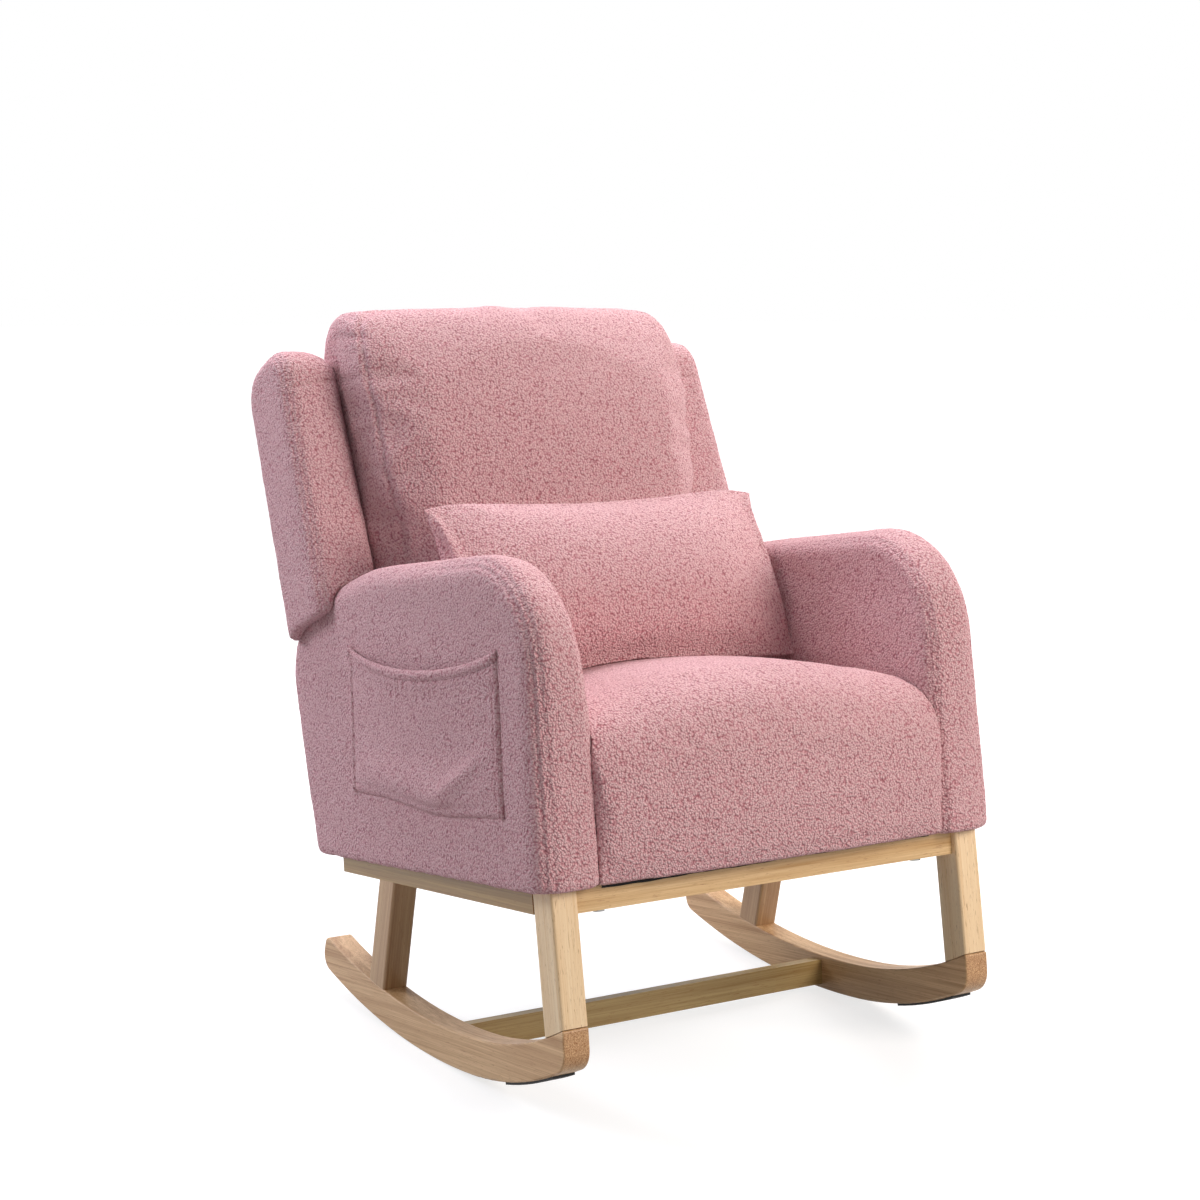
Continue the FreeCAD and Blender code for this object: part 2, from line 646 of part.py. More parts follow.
# Back cushion: a boxed cover, deeper at its foot, with a crowned front and a rounded top
def cushion_section(height, width_share, depth_share, rear_share, inset):
    rear = -STRAP_THICKNESS - SOFT_GAP - rear_share * CUSHION_DEPTH - inset
    side = -CUSHION_DEPTH * depth_share + inset
    front = side - CUSHION_CROWN * depth_share
    half = back_half_x * width_share - inset
    corner = CUSHION_CORNER * depth_share - inset / 2
    nook = corner * (1 - math.sqrt(0.5))
    left_corner = V(half - nook, side + nook, height)
    right_corner = V(nook - half, side + nook, height)
    return Part.Wire(
        [
            Part.makeLine(V(-half, rear, height), V(half, rear, height)),
            Part.makeLine(V(half, rear, height), V(half, side + corner, height)),
            Part.Arc(
                V(half, side + corner, height), left_corner, V(half - corner, side, height)
            ).toShape(),
            Part.Arc(
                V(half - corner, side, height), V(0, front, height), V(corner - half, side, height)
            ).toShape(),
            Part.Arc(
                V(corner - half, side, height), right_corner, V(-half, side + corner, height)
            ).toShape(),
            Part.makeLine(V(-half, side + corner, height), V(-half, rear, height)),
        ]
    )


cushion_shape = (
    (0.0, 0.94, 0.62, 0.0),
    (0.04, 0.957, 0.74, 0.0),
    (0.14, 0.968, 0.8, 0.0),
    (0.38, 0.97, 0.86, 0.0),
    (0.52, 0.99, 0.94, 0.0),
    (0.7, 0.995, 1.0, 0.0),
    (0.83, 0.995, 0.98, 0.01),
    (0.93, 0.985, 0.9, 0.1),
    (0.98, 0.97, 0.76, 0.22),
    (1.0, 0.95, 0.62, 0.34),
)


def cushion_body(inset):
    low = CUSHION_BOTTOM + inset
    rise = CUSHION_TOP - inset - low
    wires = [cushion_section(low + row[0] * rise, *row[1:], inset) for row in cushion_shape]
    return Part.makeLoft(wires, True, False)


pieces["back_cushion"] = reclined(cushion_body(0).cut(cushion_body(CUSHION_COVER)))


# Lumbar pillow: a cover of lens sections from end to end, leaning on the seat against the cushion
def pillow_section(x, height, thickness, inset):
    tip_angle = 2 * math.atan(thickness / height)
    height -= 2 * inset / math.sin(tip_angle)
    thickness -= 2 * inset
    low = (PILLOW_HEIGHT - height) / 2
    high = low + height
    middle = PILLOW_HEIGHT / 2
    foot = V(x, 0, low)
    head = V(x, 0, high)
    return Part.Wire(
        [
            Part.Arc(foot, V(x, -thickness / 2, middle), head).toShape(),
            Part.Arc(head, V(x, thickness / 2, middle), foot).toShape(),
        ]
    )


pillow_shape = (
    (-0.5, 1.0, 0.06),
    (-0.46, 0.985, 0.34),
    (-0.36, 0.965, 0.72),
    (-0.18, 0.95, 0.95),
    (0.0, 0.945, 1.0),
    (0.18, 0.95, 0.95),
    (0.36, 0.965, 0.72),
    (0.46, 0.985, 0.34),
    (0.5, 1.0, 0.06),
)


def pillow_body(rows, inset):
    wires = []
    for share, tall, thick in rows:
        x = share * PILLOW_LENGTH
        wires.append(pillow_section(x, tall * PILLOW_HEIGHT, thick * PILLOW_THICKNESS, inset))
    return Part.makeLoft(wires, True, False)


pillow = pillow_body(pillow_shape, 0).cut(pillow_body(pillow_shape[1:-1], PILLOW_COVER))
pillow.rotate(V(0, 0, 0), V(1, 0, 0), -PILLOW_LEAN)
pillow.translate(V(0, PILLOW_FOOT_Y, seat_top(0, PILLOW_FOOT_Y) + PILLOW_LIFT))
pieces["lumbar_pillow"] = pillow

# Dowels: two in each joint of the base
side_names = (("left", 1), ("right", -1))
leg_dowels = []
rail_dowels = []
stretcher_dowels = []
leg_x = half_base - LEG_WIDTH / 2
rail_x = half_base - RAIL_THICKNESS / 2
rail_middle_z = SEAT_BASE - RAIL_HEIGHT / 2
front_rake = math.tan(math.radians(FRONT_LEG_RAKE))
rear_rake = math.tan(math.radians(REAR_LEG_RAKE))
front_foot_y = FRONT_LEG_Y + FRONT_LEG_DEPTH / 2 + leg_lean(80, SEAT_BASE, -FRONT_LEG_RAKE)
rear_foot_y = REAR_LEG_Y + REAR_LEG_DEPTH / 2 + leg_lean(76, rail_bottom, REAR_LEG_RAKE)
front_rail_middle = front_rail_y + RAIL_THICKNESS / 2
rear_rail_middle = REAR_RAIL_Y + RAIL_THICKNESS / 2
rear_leg_middle = REAR_LEG_Y + REAR_LEG_DEPTH / 2
stretcher_middle_z = stretcher_top - STRETCHER_HEIGHT / 2
for side, sign in side_names:
    for offset in (-10.0, 10.0):
        front_y = front_foot_y + offset
        rear_y = rear_foot_y + offset
        rail_peg_z = rail_middle_z + 0.8 * offset
        stretcher_peg_z = stretcher_middle_z + 0.9 * offset
        leg_dowels.append(
            peg(
                ["front_leg_" + side, "rocker_" + side],
                V(sign * leg_x, front_y, rocker_z(front_y) + ROCKER_HEIGHT),
                V(0, front_rake, 1),
                DOWEL,
                DOWEL_LENGTH,
            )
        )
        leg_dowels.append(
            peg(
                ["rear_leg_" + side, "rocker_" + side],
                V(sign * leg_x, rear_y, rocker_z(rear_y) + ROCKER_HEIGHT),
                V(0, -rear_rake, 1),
                DOWEL,
                DOWEL_LENGTH,
            )
        )
        rail_dowels.append(
            peg(
                ["rear_leg_" + side, "side_rail_" + side],
                V(sign * rail_x, rear_leg_middle + offset, rail_bottom),
                V(0, 0, 1),
                SMALL_DOWEL,
                SMALL_DOWEL_LENGTH,
            )
        )
        rail_dowels.append(
            peg(
                ["front_leg_" + side, "front_rail"],
                V(sign * leg_inner_x, front_rail_middle + offset / 2, rail_peg_z),
                V(1, 0, 0),
                SMALL_DOWEL,
                SMALL_DOWEL_LENGTH,
            )
        )
        rail_dowels.append(
            peg(
                ["side_rail_" + side, "rear_rail"],
                V(sign * rear_rail_x, rear_rail_middle, rail_peg_z),
                V(1, 0, 0),
                SMALL_DOWEL,
                SMALL_DOWEL_LENGTH,
            )
        )
        stretcher_dowels.append(
            peg(
                ["rocker_" + side, "stretcher"],
                V(sign * leg_inner_x, stretcher_middle_y, stretcher_peg_z),
                V(1, 0, 0),
                SMALL_DOWEL,
                SMALL_DOWEL_LENGTH,
            )
        )
    rail_dowels.append(
        peg(
            ["front_leg_" + side, "side_rail_" + side],
            V(sign * (rail_x - 7), leg_back_y, rail_middle_z),
            V(0, 1, 0),
            SMALL_DOWEL,
            SMALL_DOWEL_LENGTH - 14,
        )
    )
pieces["leg_dowels"] = Part.makeCompound(leg_dowels)
pieces["rail_dowels"] = Part.makeCompound(rail_dowels)
pieces["stretcher_dowels"] = Part.makeCompound(stretcher_dowels)


# Bolts: up through the base rails into the seat box, and out through the box into the arm panels
def bolt(base, direction, length):
    head = rod(BOLT_HEAD, BOLT_HEAD_HEIGHT, base, direction * -1)
    return rod(BOLT, length, base, direction).fuse(head).removeSplitter()


def insert(base, direction, length):
    sleeve = rod(INSERT, length, base, direction)
    return sleeve.cut(rod(BOLT + HOLE_CLEARANCE, length, base, direction))


seat_bolts = []
arm_bolts = []
inserts = []
up = V(0, 0, 1)
box_middle_x = half_seat - SEAT_BOX_THICKNESS / 2
seat_bolt_length = RAIL_HEIGHT + INSERT_LENGTH
arm_bolt_length = arm_frame_x + ARM_FRAME_THICKNESS - box_inner_x
seat_bolt_places = (
    ("front_rail", SEAT_BOX_FRONT_Y + SEAT_BOX_THICKNESS / 2),
    ("rear_rail", SEAT_BOX_REAR_Y - SEAT_BOX_THICKNESS / 2),
)
for side, sign in side_names:
    box_name = "seat_box_" + side
    for rail_name, y in seat_bolt_places:
        foot = V(sign * box_middle_x, y, rail_bottom)
        seat = V(sign * box_middle_x, y, SEAT_BASE)
        seat_bolts.append(bolt(foot, up, seat_bolt_length))
        inserts.append(insert(seat, up, INSERT_LENGTH))
        clearance = rod(BOLT + HOLE_CLEARANCE, seat_bolt_length + 2, foot, up)
        pieces[rail_name] = pieces[rail_name].cut(clearance)
        socket_hole = rod(INSERT + HOLE_CLEARANCE, INSERT_LENGTH, seat, up)
        pieces[box_name] = pieces[box_name].cut(socket_hole).cut(clearance)
    for y in ARM_BOLTS_Y:
        out = V(sign, 0, 0)
        start = V(sign * box_inner_x, y, SEAT_BASE + ARM_BOLT_HEIGHT)
        panel = V(sign * arm_frame_x, y, SEAT_BASE + ARM_BOLT_HEIGHT)
        arm_bolts.append(bolt(start, out, arm_bolt_length))
        inserts.append(insert(panel, out, ARM_FRAME_THICKNESS))
        clearance = rod(BOLT + HOLE_CLEARANCE, arm_frame_x - box_inner_x, start, out)
        for name in (box_name, "arm_pad_" + side):
            pieces[name] = pieces[name].cut(clearance)
        panel_hole = rod(INSERT + HOLE_CLEARANCE, ARM_FRAME_THICKNESS, panel, out)
        pieces["arm_frame_" + side] = pieces["arm_frame_" + side].cut(panel_hole)
pieces["seat_bolts"] = Part.makeCompound(seat_bolts)
pieces["arm_bolts"] = Part.makeCompound(arm_bolts)
pieces["thread_inserts"] = Part.makeCompound(inserts)

# Rest: roll the level chair back on its rockers, then set the origin on the floor under its middle
front_limit = []
rear_limit = []
for shape in pieces.values():
    shape.rotate(V(0, 0, ROCKER_REAR_RADIUS), V(1, 0, 0), -REST_TILT)
    bounds = shape.optimalBoundingBox(False)
    front_limit.append(bounds.YMin)
    rear_limit.append(bounds.YMax)
middle_y = (min(front_limit) + max(rear_limit)) / 2
for name, shape in pieces.items():
    shape.translate(V(0, -middle_y, 0))
    shape.exportStep("parts/" + name + ".step")
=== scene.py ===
import math

import bmesh
import bpy
import numpy as np
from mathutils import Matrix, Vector, noise
from mathutils.bvhtree import BVHTree
from mathutils.kdtree import KDTree


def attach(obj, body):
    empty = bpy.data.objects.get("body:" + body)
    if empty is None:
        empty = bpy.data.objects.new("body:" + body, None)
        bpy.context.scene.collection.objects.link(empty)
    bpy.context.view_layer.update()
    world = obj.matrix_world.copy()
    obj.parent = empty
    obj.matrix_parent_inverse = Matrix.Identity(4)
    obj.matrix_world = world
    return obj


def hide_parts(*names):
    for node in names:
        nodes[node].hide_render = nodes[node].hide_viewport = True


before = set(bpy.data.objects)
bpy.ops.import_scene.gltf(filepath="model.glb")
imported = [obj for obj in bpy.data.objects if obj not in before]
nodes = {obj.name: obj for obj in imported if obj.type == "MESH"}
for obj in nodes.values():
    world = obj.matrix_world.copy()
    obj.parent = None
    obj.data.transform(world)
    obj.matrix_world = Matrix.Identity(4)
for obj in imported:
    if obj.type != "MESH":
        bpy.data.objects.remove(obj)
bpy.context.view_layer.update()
scene = bpy.context.scene

# Rocker base
# Two bent rockers, four raked legs, the rails under the seat and one stretcher, sawn from rubberwood,
# sanded with eased edges and glued up with dowels. Only their finish is made here.


def linear(colour):
    """An sRGB hex colour as linear RGBA."""
    out = []
    for i in (1, 3, 5):
        value = int(colour[i : i + 2], 16) / 255
        out.append(value / 12.92 if value <= 0.04045 else ((value + 0.055) / 1.055) ** 2.4)
    return (*out, 1.0)


def add(tree, kind, settings=None, links=None):
    """One node, with its settings by property or socket and its links by socket."""
    node = tree.nodes.new(kind)
    for key, value in (settings or {}).items():
        if isinstance(key, str) and hasattr(node, key):
            setattr(node, key, value)
        else:
            node.inputs[key].default_value = value
    for key, socket in (links or {}).items():
        tree.links.new(socket, node.inputs[key])
    return node


def blank_material(name):
    material = bpy.data.materials.new(name)
    material.use_nodes = True
    tree = material.node_tree
    tree.nodes.clear()
    return material, tree


# Rubberwood, planed and sanded under a thin clear matt lacquer: long pale fibres, short dark pores and
# darker end grain where the saw crossed them. Each mark has a length and a width in metres. Real fibres
# and pores are finer than 0.2 mm and are drawn coarser, so that they show.
WOOD_FIBRE = (0.16, 0.0016, 0.0016)
WOOD_BAND = (0.7, 0.016, 0.016)
WOOD_PORE = (0.015, 0.001, 0.001)


def sawn_wood(name, turn, offset, pale, dark, end):
    material, tree = blank_material(name)
    place = add(tree, "ShaderNodeTexCoord").outputs["Object"]
    layers = []
    for size in (WOOD_FIBRE, WOOD_BAND, WOOD_PORE):
        along = add(
            tree,
            "ShaderNodeMapping",
            {"vector_type": "TEXTURE", "Rotation": turn, "Scale": size, "Location": offset},
            {"Vector": place},
        )
        layers.append(
            add(
                tree,
                "ShaderNodeTexNoise",
                {"Scale": 1.0, "Detail": 3.0, "Roughness": 0.55, "Distortion": 0.7},
                {"Vector": along.outputs["Vector"]},
            ).outputs["Fac"]
        )
    fibre, band, pore = layers
    figure = add(
        tree, "ShaderNodeMix", {"data_type": "FLOAT", "Factor": 0.45}, {2: band, 3: fibre}
    ).outputs[0]
    ramp = add(tree, "ShaderNodeValToRGB", {}, {"Fac": figure})
    ramp.color_ramp.elements[0].position = 0.36
    ramp.color_ramp.elements[0].color = linear(dark)
    ramp.color_ramp.elements[1].position = 0.62
    ramp.color_ramp.elements[1].color = linear(pale)
    pores = add(
        tree,
        "ShaderNodeMapRange",
        {"From Min": 0.31, "From Max": 0.39, "To Min": 0.7, "To Max": 0.0},
        {"Value": pore},
    ).outputs["Result"]
    face = add(
        tree,
        "ShaderNodeMix",
        {"data_type": "RGBA", 7: linear(end)},
        {0: pores, 6: ramp.outputs["Color"]},
    ).outputs[2]
    normal = add(tree, "ShaderNodeNewGeometry").outputs["Normal"]
    facing = add(
        tree,
        "ShaderNodeVectorRotate",
        {"rotation_type": "EULER_XYZ", "invert": True, "Rotation": turn},
        {"Vector": normal},
    ).outputs["Vector"]
    across = add(tree, "ShaderNodeSeparateXYZ", {}, {"Vector": facing}).outputs["X"]
    endwise = add(tree, "ShaderNodeMath", {"operation": "ABSOLUTE"}, {0: across}).outputs[0]
    sawn = add(
        tree,
        "ShaderNodeMapRange",
        {"From Min": 0.55, "From Max": 0.95, "To Min": 0.0, "To Max": 0.92},
        {"Value": endwise},
    ).outputs["Result"]
    rings = add(
        tree, "ShaderNodeMapRange", {"From Min": 0.36, "From Max": 0.7}, {"Value": fibre}
    ).outputs["Result"]
    ringed = add(
        tree,
        "ShaderNodeMix",
        {"data_type": "RGBA", 6: linear(end), 7: linear(pale)},
        {0: rings},
    ).outputs[2]
    colour = add(tree, "ShaderNodeMix", {"data_type": "RGBA"}, {0: sawn, 6: face, 7: ringed}).outputs[2]
    bump = add(tree, "ShaderNodeBump", {"Strength": 0.25, "Distance": 0.0004}, {"Height": fibre})
    shader = add(
        tree,
        "ShaderNodeBsdfPrincipled",
        {"Roughness": 0.48, "IOR": 1.5, "Coat Weight": 0.12, "Coat Roughness": 0.35},
        {"Base Color": colour, "Normal": bump.outputs["Normal"]},
    )
    add(tree, "ShaderNodeOutputMaterial", {}, {"Surface": shader.outputs[0]})
    return material


def finish_node(name, material):
    nodes[name].data.materials.clear()
    nodes[name].data.materials.append(material)


END_WOOD = "#8a5628"
REST_TILT = math.radians(7.4)
FRONT_LEG_RAKE = math.radians(10.4)
REAR_LEG_RAKE = math.radians(-12.1)
QUARTER = math.pi / 2
# How far apart in the log the boards were cut, in metres, so that no two show the same figure
BOARD_STEP = (0.37, 0.05)
PAIR_STEP = 0.031
# Which way each piece's grain runs (its turn about y from the y axis, or None for a piece along x), and
# the pale and dark tints of the boards it was sawn from. The tints also hold painted light: the side rails,
# rear legs and stretcher are darker, painted shade for where they stand under the seat and its overhang,
# and the front legs paler, painted light where the lamps fall on them
GRAIN_AND_PAINTED_LIGHT = {
    "rocker": (REST_TILT, "#d8b284", "#9d7040"),
    "side_rail": (REST_TILT, "#a68751", "#826033"),
    "front_leg": (FRONT_LEG_RAKE - QUARTER, "#ebd3ad", "#d7b384"),
    "rear_leg": (REAR_LEG_RAKE - QUARTER, "#b8966d", "#946d48"),
    "front_rail": (None, "#d8b888", "#b0874f"),
    "rear_rail": (None, "#dcbd8a", "#bd935a"),
    "stretcher": (None, "#baa06a", "#95743f"),
    "leg_dowels": (REST_TILT - QUARTER, "#e0c08c", "#bd935a"),
    "rail_dowels": (None, "#e0c08c", "#bd935a"),
    "stretcher_dowels": (None, "#e0c08c", "#bd935a"),
}
for number, (piece_name, (turn, pale, dark)) in enumerate(GRAIN_AND_PAINTED_LIGHT.items()):
    for side in ("", "_left", "_right"):
        if piece_name + side not in nodes:
            continue
        rotation = (0.0, 0.0, 0.0) if turn is None else (0.0, turn, QUARTER)
        pair_step = PAIR_STEP if side == "_left" else 0.0
        shift = (BOARD_STEP[0] * number, BOARD_STEP[1] * number, pair_step)
        finish_node(
            piece_name + side,
            sawn_wood("rubberwood_" + piece_name + side, rotation, shift, pale, dark, END_WOOD),
        )

# Rocker pads
# Strips of black moulded rubber glued under the front of each rocker, so that it doesn't creep or mark the
# floor. The mould left a fine matt grain that scatters the light.


def grained(name, colour, other, grain, roughness, depth):
    """A plain material with a mottled colour and a fine grain of that size in metres."""
    material, tree = blank_material(name)
    place = add(tree, "ShaderNodeTexCoord").outputs["Object"]
    speck = add(
        tree, "ShaderNodeTexNoise", {"Scale": 1 / grain, "Detail": 3.0}, {"Vector": place}
    ).outputs["Fac"]
    tint = add(
        tree,
        "ShaderNodeMix",
        {"data_type": "RGBA", 6: linear(colour), 7: linear(other)},
        {0: speck},
    ).outputs[2]
    bump = add(tree, "ShaderNodeBump", {"Strength": 0.4, "Distance": depth}, {"Height": speck})
    shader = add(
        tree,
        "ShaderNodeBsdfPrincipled",
        {"Roughness": roughness},
        {"Base Color": tint, "Normal": bump.outputs["Normal"]},
    )
    add(tree, "ShaderNodeOutputMaterial", {}, {"Surface": shader.outputs[0]})
    return material, shader


rubber = grained("moulded_rubber", "#191919", "#2a2a2a", grain=0.0012, roughness=0.75, depth=0.0003)[0]
finish_node("rocker_pads", rubber)

# Inner frame
# Sawn pine boards and plywood panels that the upholstery hides, with zinc-plated bolts, threaded sleeves
# and hooked brackets, and elastic straps stapled across the seat and the back.

# Pine as it comes from the saw: yellower than the rubberwood, its grain along the board
PINE_TINTS = ("#d8bd90", "#b8925c", "#a37c4c")
sawn_pine = sawn_wood("sawn_pine", (0.0, 0.0, 0.0), (0.2, 0.1, 0.0), *PINE_TINTS)
upright_pine = sawn_wood(
    "sawn_pine_upright", (0.0, REST_TILT - QUARTER, QUARTER), (0.5, 0.3, 0.0), *PINE_TINTS
)
for piece_name in (
    "seat_box_front",
    "seat_box_rear",
    "corner_blocks",
    "back_bottom_rail",
    "back_middle_rail",
    "back_top_rail",
):
    finish_node(piece_name, sawn_pine)
for piece_name in ("seat_box", "arm_frame", "wing_frame", "back_post"):
    for side in ("_left", "_right"):
        finish_node(piece_name + side, upright_pine)
# Zinc plate: a dull bright grey, faintly mottled by the bath
zinc_plate, zinc_shader = grained(
    "zinc_plated_steel", "#a9aaa6", "#8f918e", grain=0.004, roughness=0.38, depth=0.0001
)
zinc_shader.inputs["Metallic"].default_value = 1.0
for piece_name in ("arm_bolts", "seat_bolts", "thread_inserts", "bracket_sockets", "bracket_tongues"):
    finish_node(piece_name, zinc_plate)
# Webbing woven of polyester and rubber thread: dark, dull and coarse
webbing = grained("elastic_webbing", "#2b2b2d", "#47474a", grain=0.0018, roughness=0.85, depth=0.0006)[0]
for piece_name in ("seat_webbing", "back_webbing"):
    finish_node(piece_name, webbing)

# Dust cover
# Black non-woven cloth, cut to the seat box and stapled under it to hold the dust in. Its pressed fibres
# give a felt that throws back almost no light.
dust_cloth = grained("non_woven_cloth", "#0c0c0c", "#1b1b1b", grain=0.0015, roughness=0.95, depth=0.0004)[0]
finish_node("dust_cover", dust_cloth)

# Arms
# A plywood panel in foam under pink curly teddy cloth. One band runs up the front and over the top, and
# is joined to the side panels by a topstitched seam along each edge.

# The radius of the rockers' rear curve, about whose centre the chair leans back, and how far forward it
# then stands, in mm
ROCKER_RADIUS = 1150.0
REST_SHIFT = 57.005


def tilted(x, y, z):
    """A point of the level chair, in mm, where it lies in metres with the chair at rest on its rockers."""
    rise = z - ROCKER_RADIUS
    return Vector(
        (
            x,
            y * math.cos(REST_TILT) + rise * math.sin(REST_TILT) - REST_SHIFT,
            rise * math.cos(REST_TILT) - y * math.sin(REST_TILT) + ROCKER_RADIUS,
        )
    ) / 1000


def rounded(corners, arc_points=14):
    """Points round an outline whose corners are (y, z, radius)."""
    points = []
    for i, (y, z, radius) in enumerate(corners):
        here = Vector((y, z))
        if radius <= 0:
            points.append(here)
            continue
        before = Vector(corners[i - 1][:2]) - here
        after = Vector(corners[(i + 1) % len(corners)][:2]) - here
        before.normalize()
        after.normalize()
        half = before.angle(after) / 2
        centre = here + (before + after).normalized() * (radius / math.sin(half))
        first = here + before * (radius / math.tan(half)) - centre
        sweep = math.pi - 2 * half
        sign = 1 if before.x * after.y - before.y * after.x < 0 else -1
        for k in range(arc_points + 1):
            angle = sign * sweep * k / arc_points
            c, s = math.cos(angle), math.sin(angle)
            points.append(centre + Vector((first.x * c - first.y * s, first.x * s + first.y * c)))
    return points


def new_piece(name, points, faces):
    mesh = bpy.data.meshes.new(name)
    mesh.from_pydata(points, [], faces)
    mesh.validate()
    work = bmesh.new()
    work.from_mesh(mesh)
    bmesh.ops.recalc_face_normals(work, faces=work.faces[:])
    work.to_mesh(mesh)
    work.free()
    piece = bpy.data.objects.new(name, mesh)
    scene.collection.objects.link(piece)
    return piece


def loft(name, rings):
    """A closed form through rings of as many points each."""
    count = len(rings[0])
    last = count * (len(rings) - 1)
    faces = [tuple(range(count)), tuple(range(last, last + count))]
    for start in range(0, last, count):
        for i in range(count):
            j = (i + 1) % count
            faces.append((start + i, start + j, start + count + j, start + count + i))
    return new_piece(name, [point for ring in rings for point in ring], faces)


def bake(piece):
    """Makes what the modifiers give the piece's own mesh."""
    graph = bpy.context.evaluated_depsgraph_get()
    mesh = bpy.data.meshes.new_from_object(piece.evaluated_get(graph))
    old = piece.data
    piece.modifiers.clear()
    piece.data = mesh
    bpy.data.meshes.remove(old)


def relax(piece, rounds):
    """Rounds of smoothing, which ease what is left of steps and wrinkles."""
    smooth = piece.modifiers.new("smooth", "SMOOTH")
    smooth.factor = 0.5
    smooth.iterations = rounds
    bake(piece)


def even(piece, voxel, rounds):
    """Even quads of that size, then rounds of smoothing."""
    remesh = piece.modifiers.new("even", "REMESH")
    remesh.mode = "VOXEL"
    remesh.voxel_size = voxel
    relax(piece, rounds)


def coordinates(piece, what="co"):
    values = np.zeros(len(piece.data.vertices) * 3, np.float32)
    piece.data.vertices.foreach_get(what, values)
    return values.reshape(-1, 3)


def place_vertices(piece, points):
    piece.data.vertices.foreach_set("co", np.ascontiguousarray(points, np.float32).ravel())
    piece.data.update()


PUFF_FRAMES = 20


def puff(piece, pressure, grow, cap, sewn):
    """Swells the piece as cloth round its filling, by at most cap. Points where sewn is true stay put."""
    start = coordinates(piece)
    held = piece.vertex_groups.new(name="sewn")
    held.add([int(i) for i in np.nonzero(sewn(start))[0]], 1.0, "REPLACE")
    cloth = piece.modifiers.new("cloth", "CLOTH")
    cloth.settings.quality = 5
    cloth.settings.mass = 0.3
    cloth.settings.tension_stiffness = 20
    cloth.settings.compression_stiffness = 20
    cloth.settings.shear_stiffness = 8
    cloth.settings.bending_stiffness = 1.5
    cloth.settings.shrink_min = -grow
    cloth.settings.use_pressure = True
    cloth.settings.uniform_pressure_force = pressure
    cloth.settings.effector_weights.gravity = 0
    cloth.settings.vertex_group_mass = "sewn"
    cloth.point_cache.frame_start = 1
    cloth.point_cache.frame_end = PUFF_FRAMES
    for moment in range(1, PUFF_FRAMES + 1):
        scene.frame_set(moment)
    bake(piece)
    scene.frame_set(1)
    piece.vertex_groups.clear()
    move = coordinates(piece) - start
    length = np.linalg.norm(move, axis=1, keepdims=True)
    place_vertices(piece, start + move * np.minimum(1.0, cap / np.maximum(length, 1e-9)))


def refine(piece):
    """Rounds the piece off with four faces for each one."""
    divide = piece.modifiers.new("divide", "SUBSURF")
    divide.levels = 1
    divide.render_levels = 1
    bake(piece)


SEAM_STEP = 0.003


def press_seams(piece, lines, depth, width, fade=None):
    """Draws the cloth in along lines of points, each first laid on the surface, less where it fades."""
    surface = BVHTree.FromObject(piece, bpy.context.evaluated_depsgraph_get())
    dots = []
    for line in lines:
        for a, b in zip(line, line[1:]):
            steps = max(1, int((b - a).length / SEAM_STEP))
            for k in range(steps):
                dots.append(surface.find_nearest(a.lerp(b, k / steps))[0])
    tree = KDTree(len(dots))
    for i, dot in enumerate(dots):
        tree.insert(dot, i)
    tree.balance()
    points = coordinates(piece)
    normals = coordinates(piece, "normal")
    for i, point in enumerate(points):
        near = tree.find(point)[2]
        if near < 3 * width:
            share = fade(point) if fade else 1.0
            points[i] = point - normals[i] * depth * share * math.exp(-((near / width) ** 2))
    place_vertices(piece, points)


# Teddy cloth: a knitted ground with short pink polyester pile brushed into curls. The curls stand up as
# round tufts with dark winding hollows between them, under a soft pale sheen. The colour runs from dark in
# the hollows to pale on the tips: painted shade and painted light of the relief, beside the bump that
# shapes it.
# Width of a tuft and of the curls in it, width and reach of the sway of their rows, and the pile's depth.
TUFT = 0.0029
CURL = 0.0018
SWAY = 0.008
SWAY_REACH = 0.003
PILE_DEPTH = 0.0026


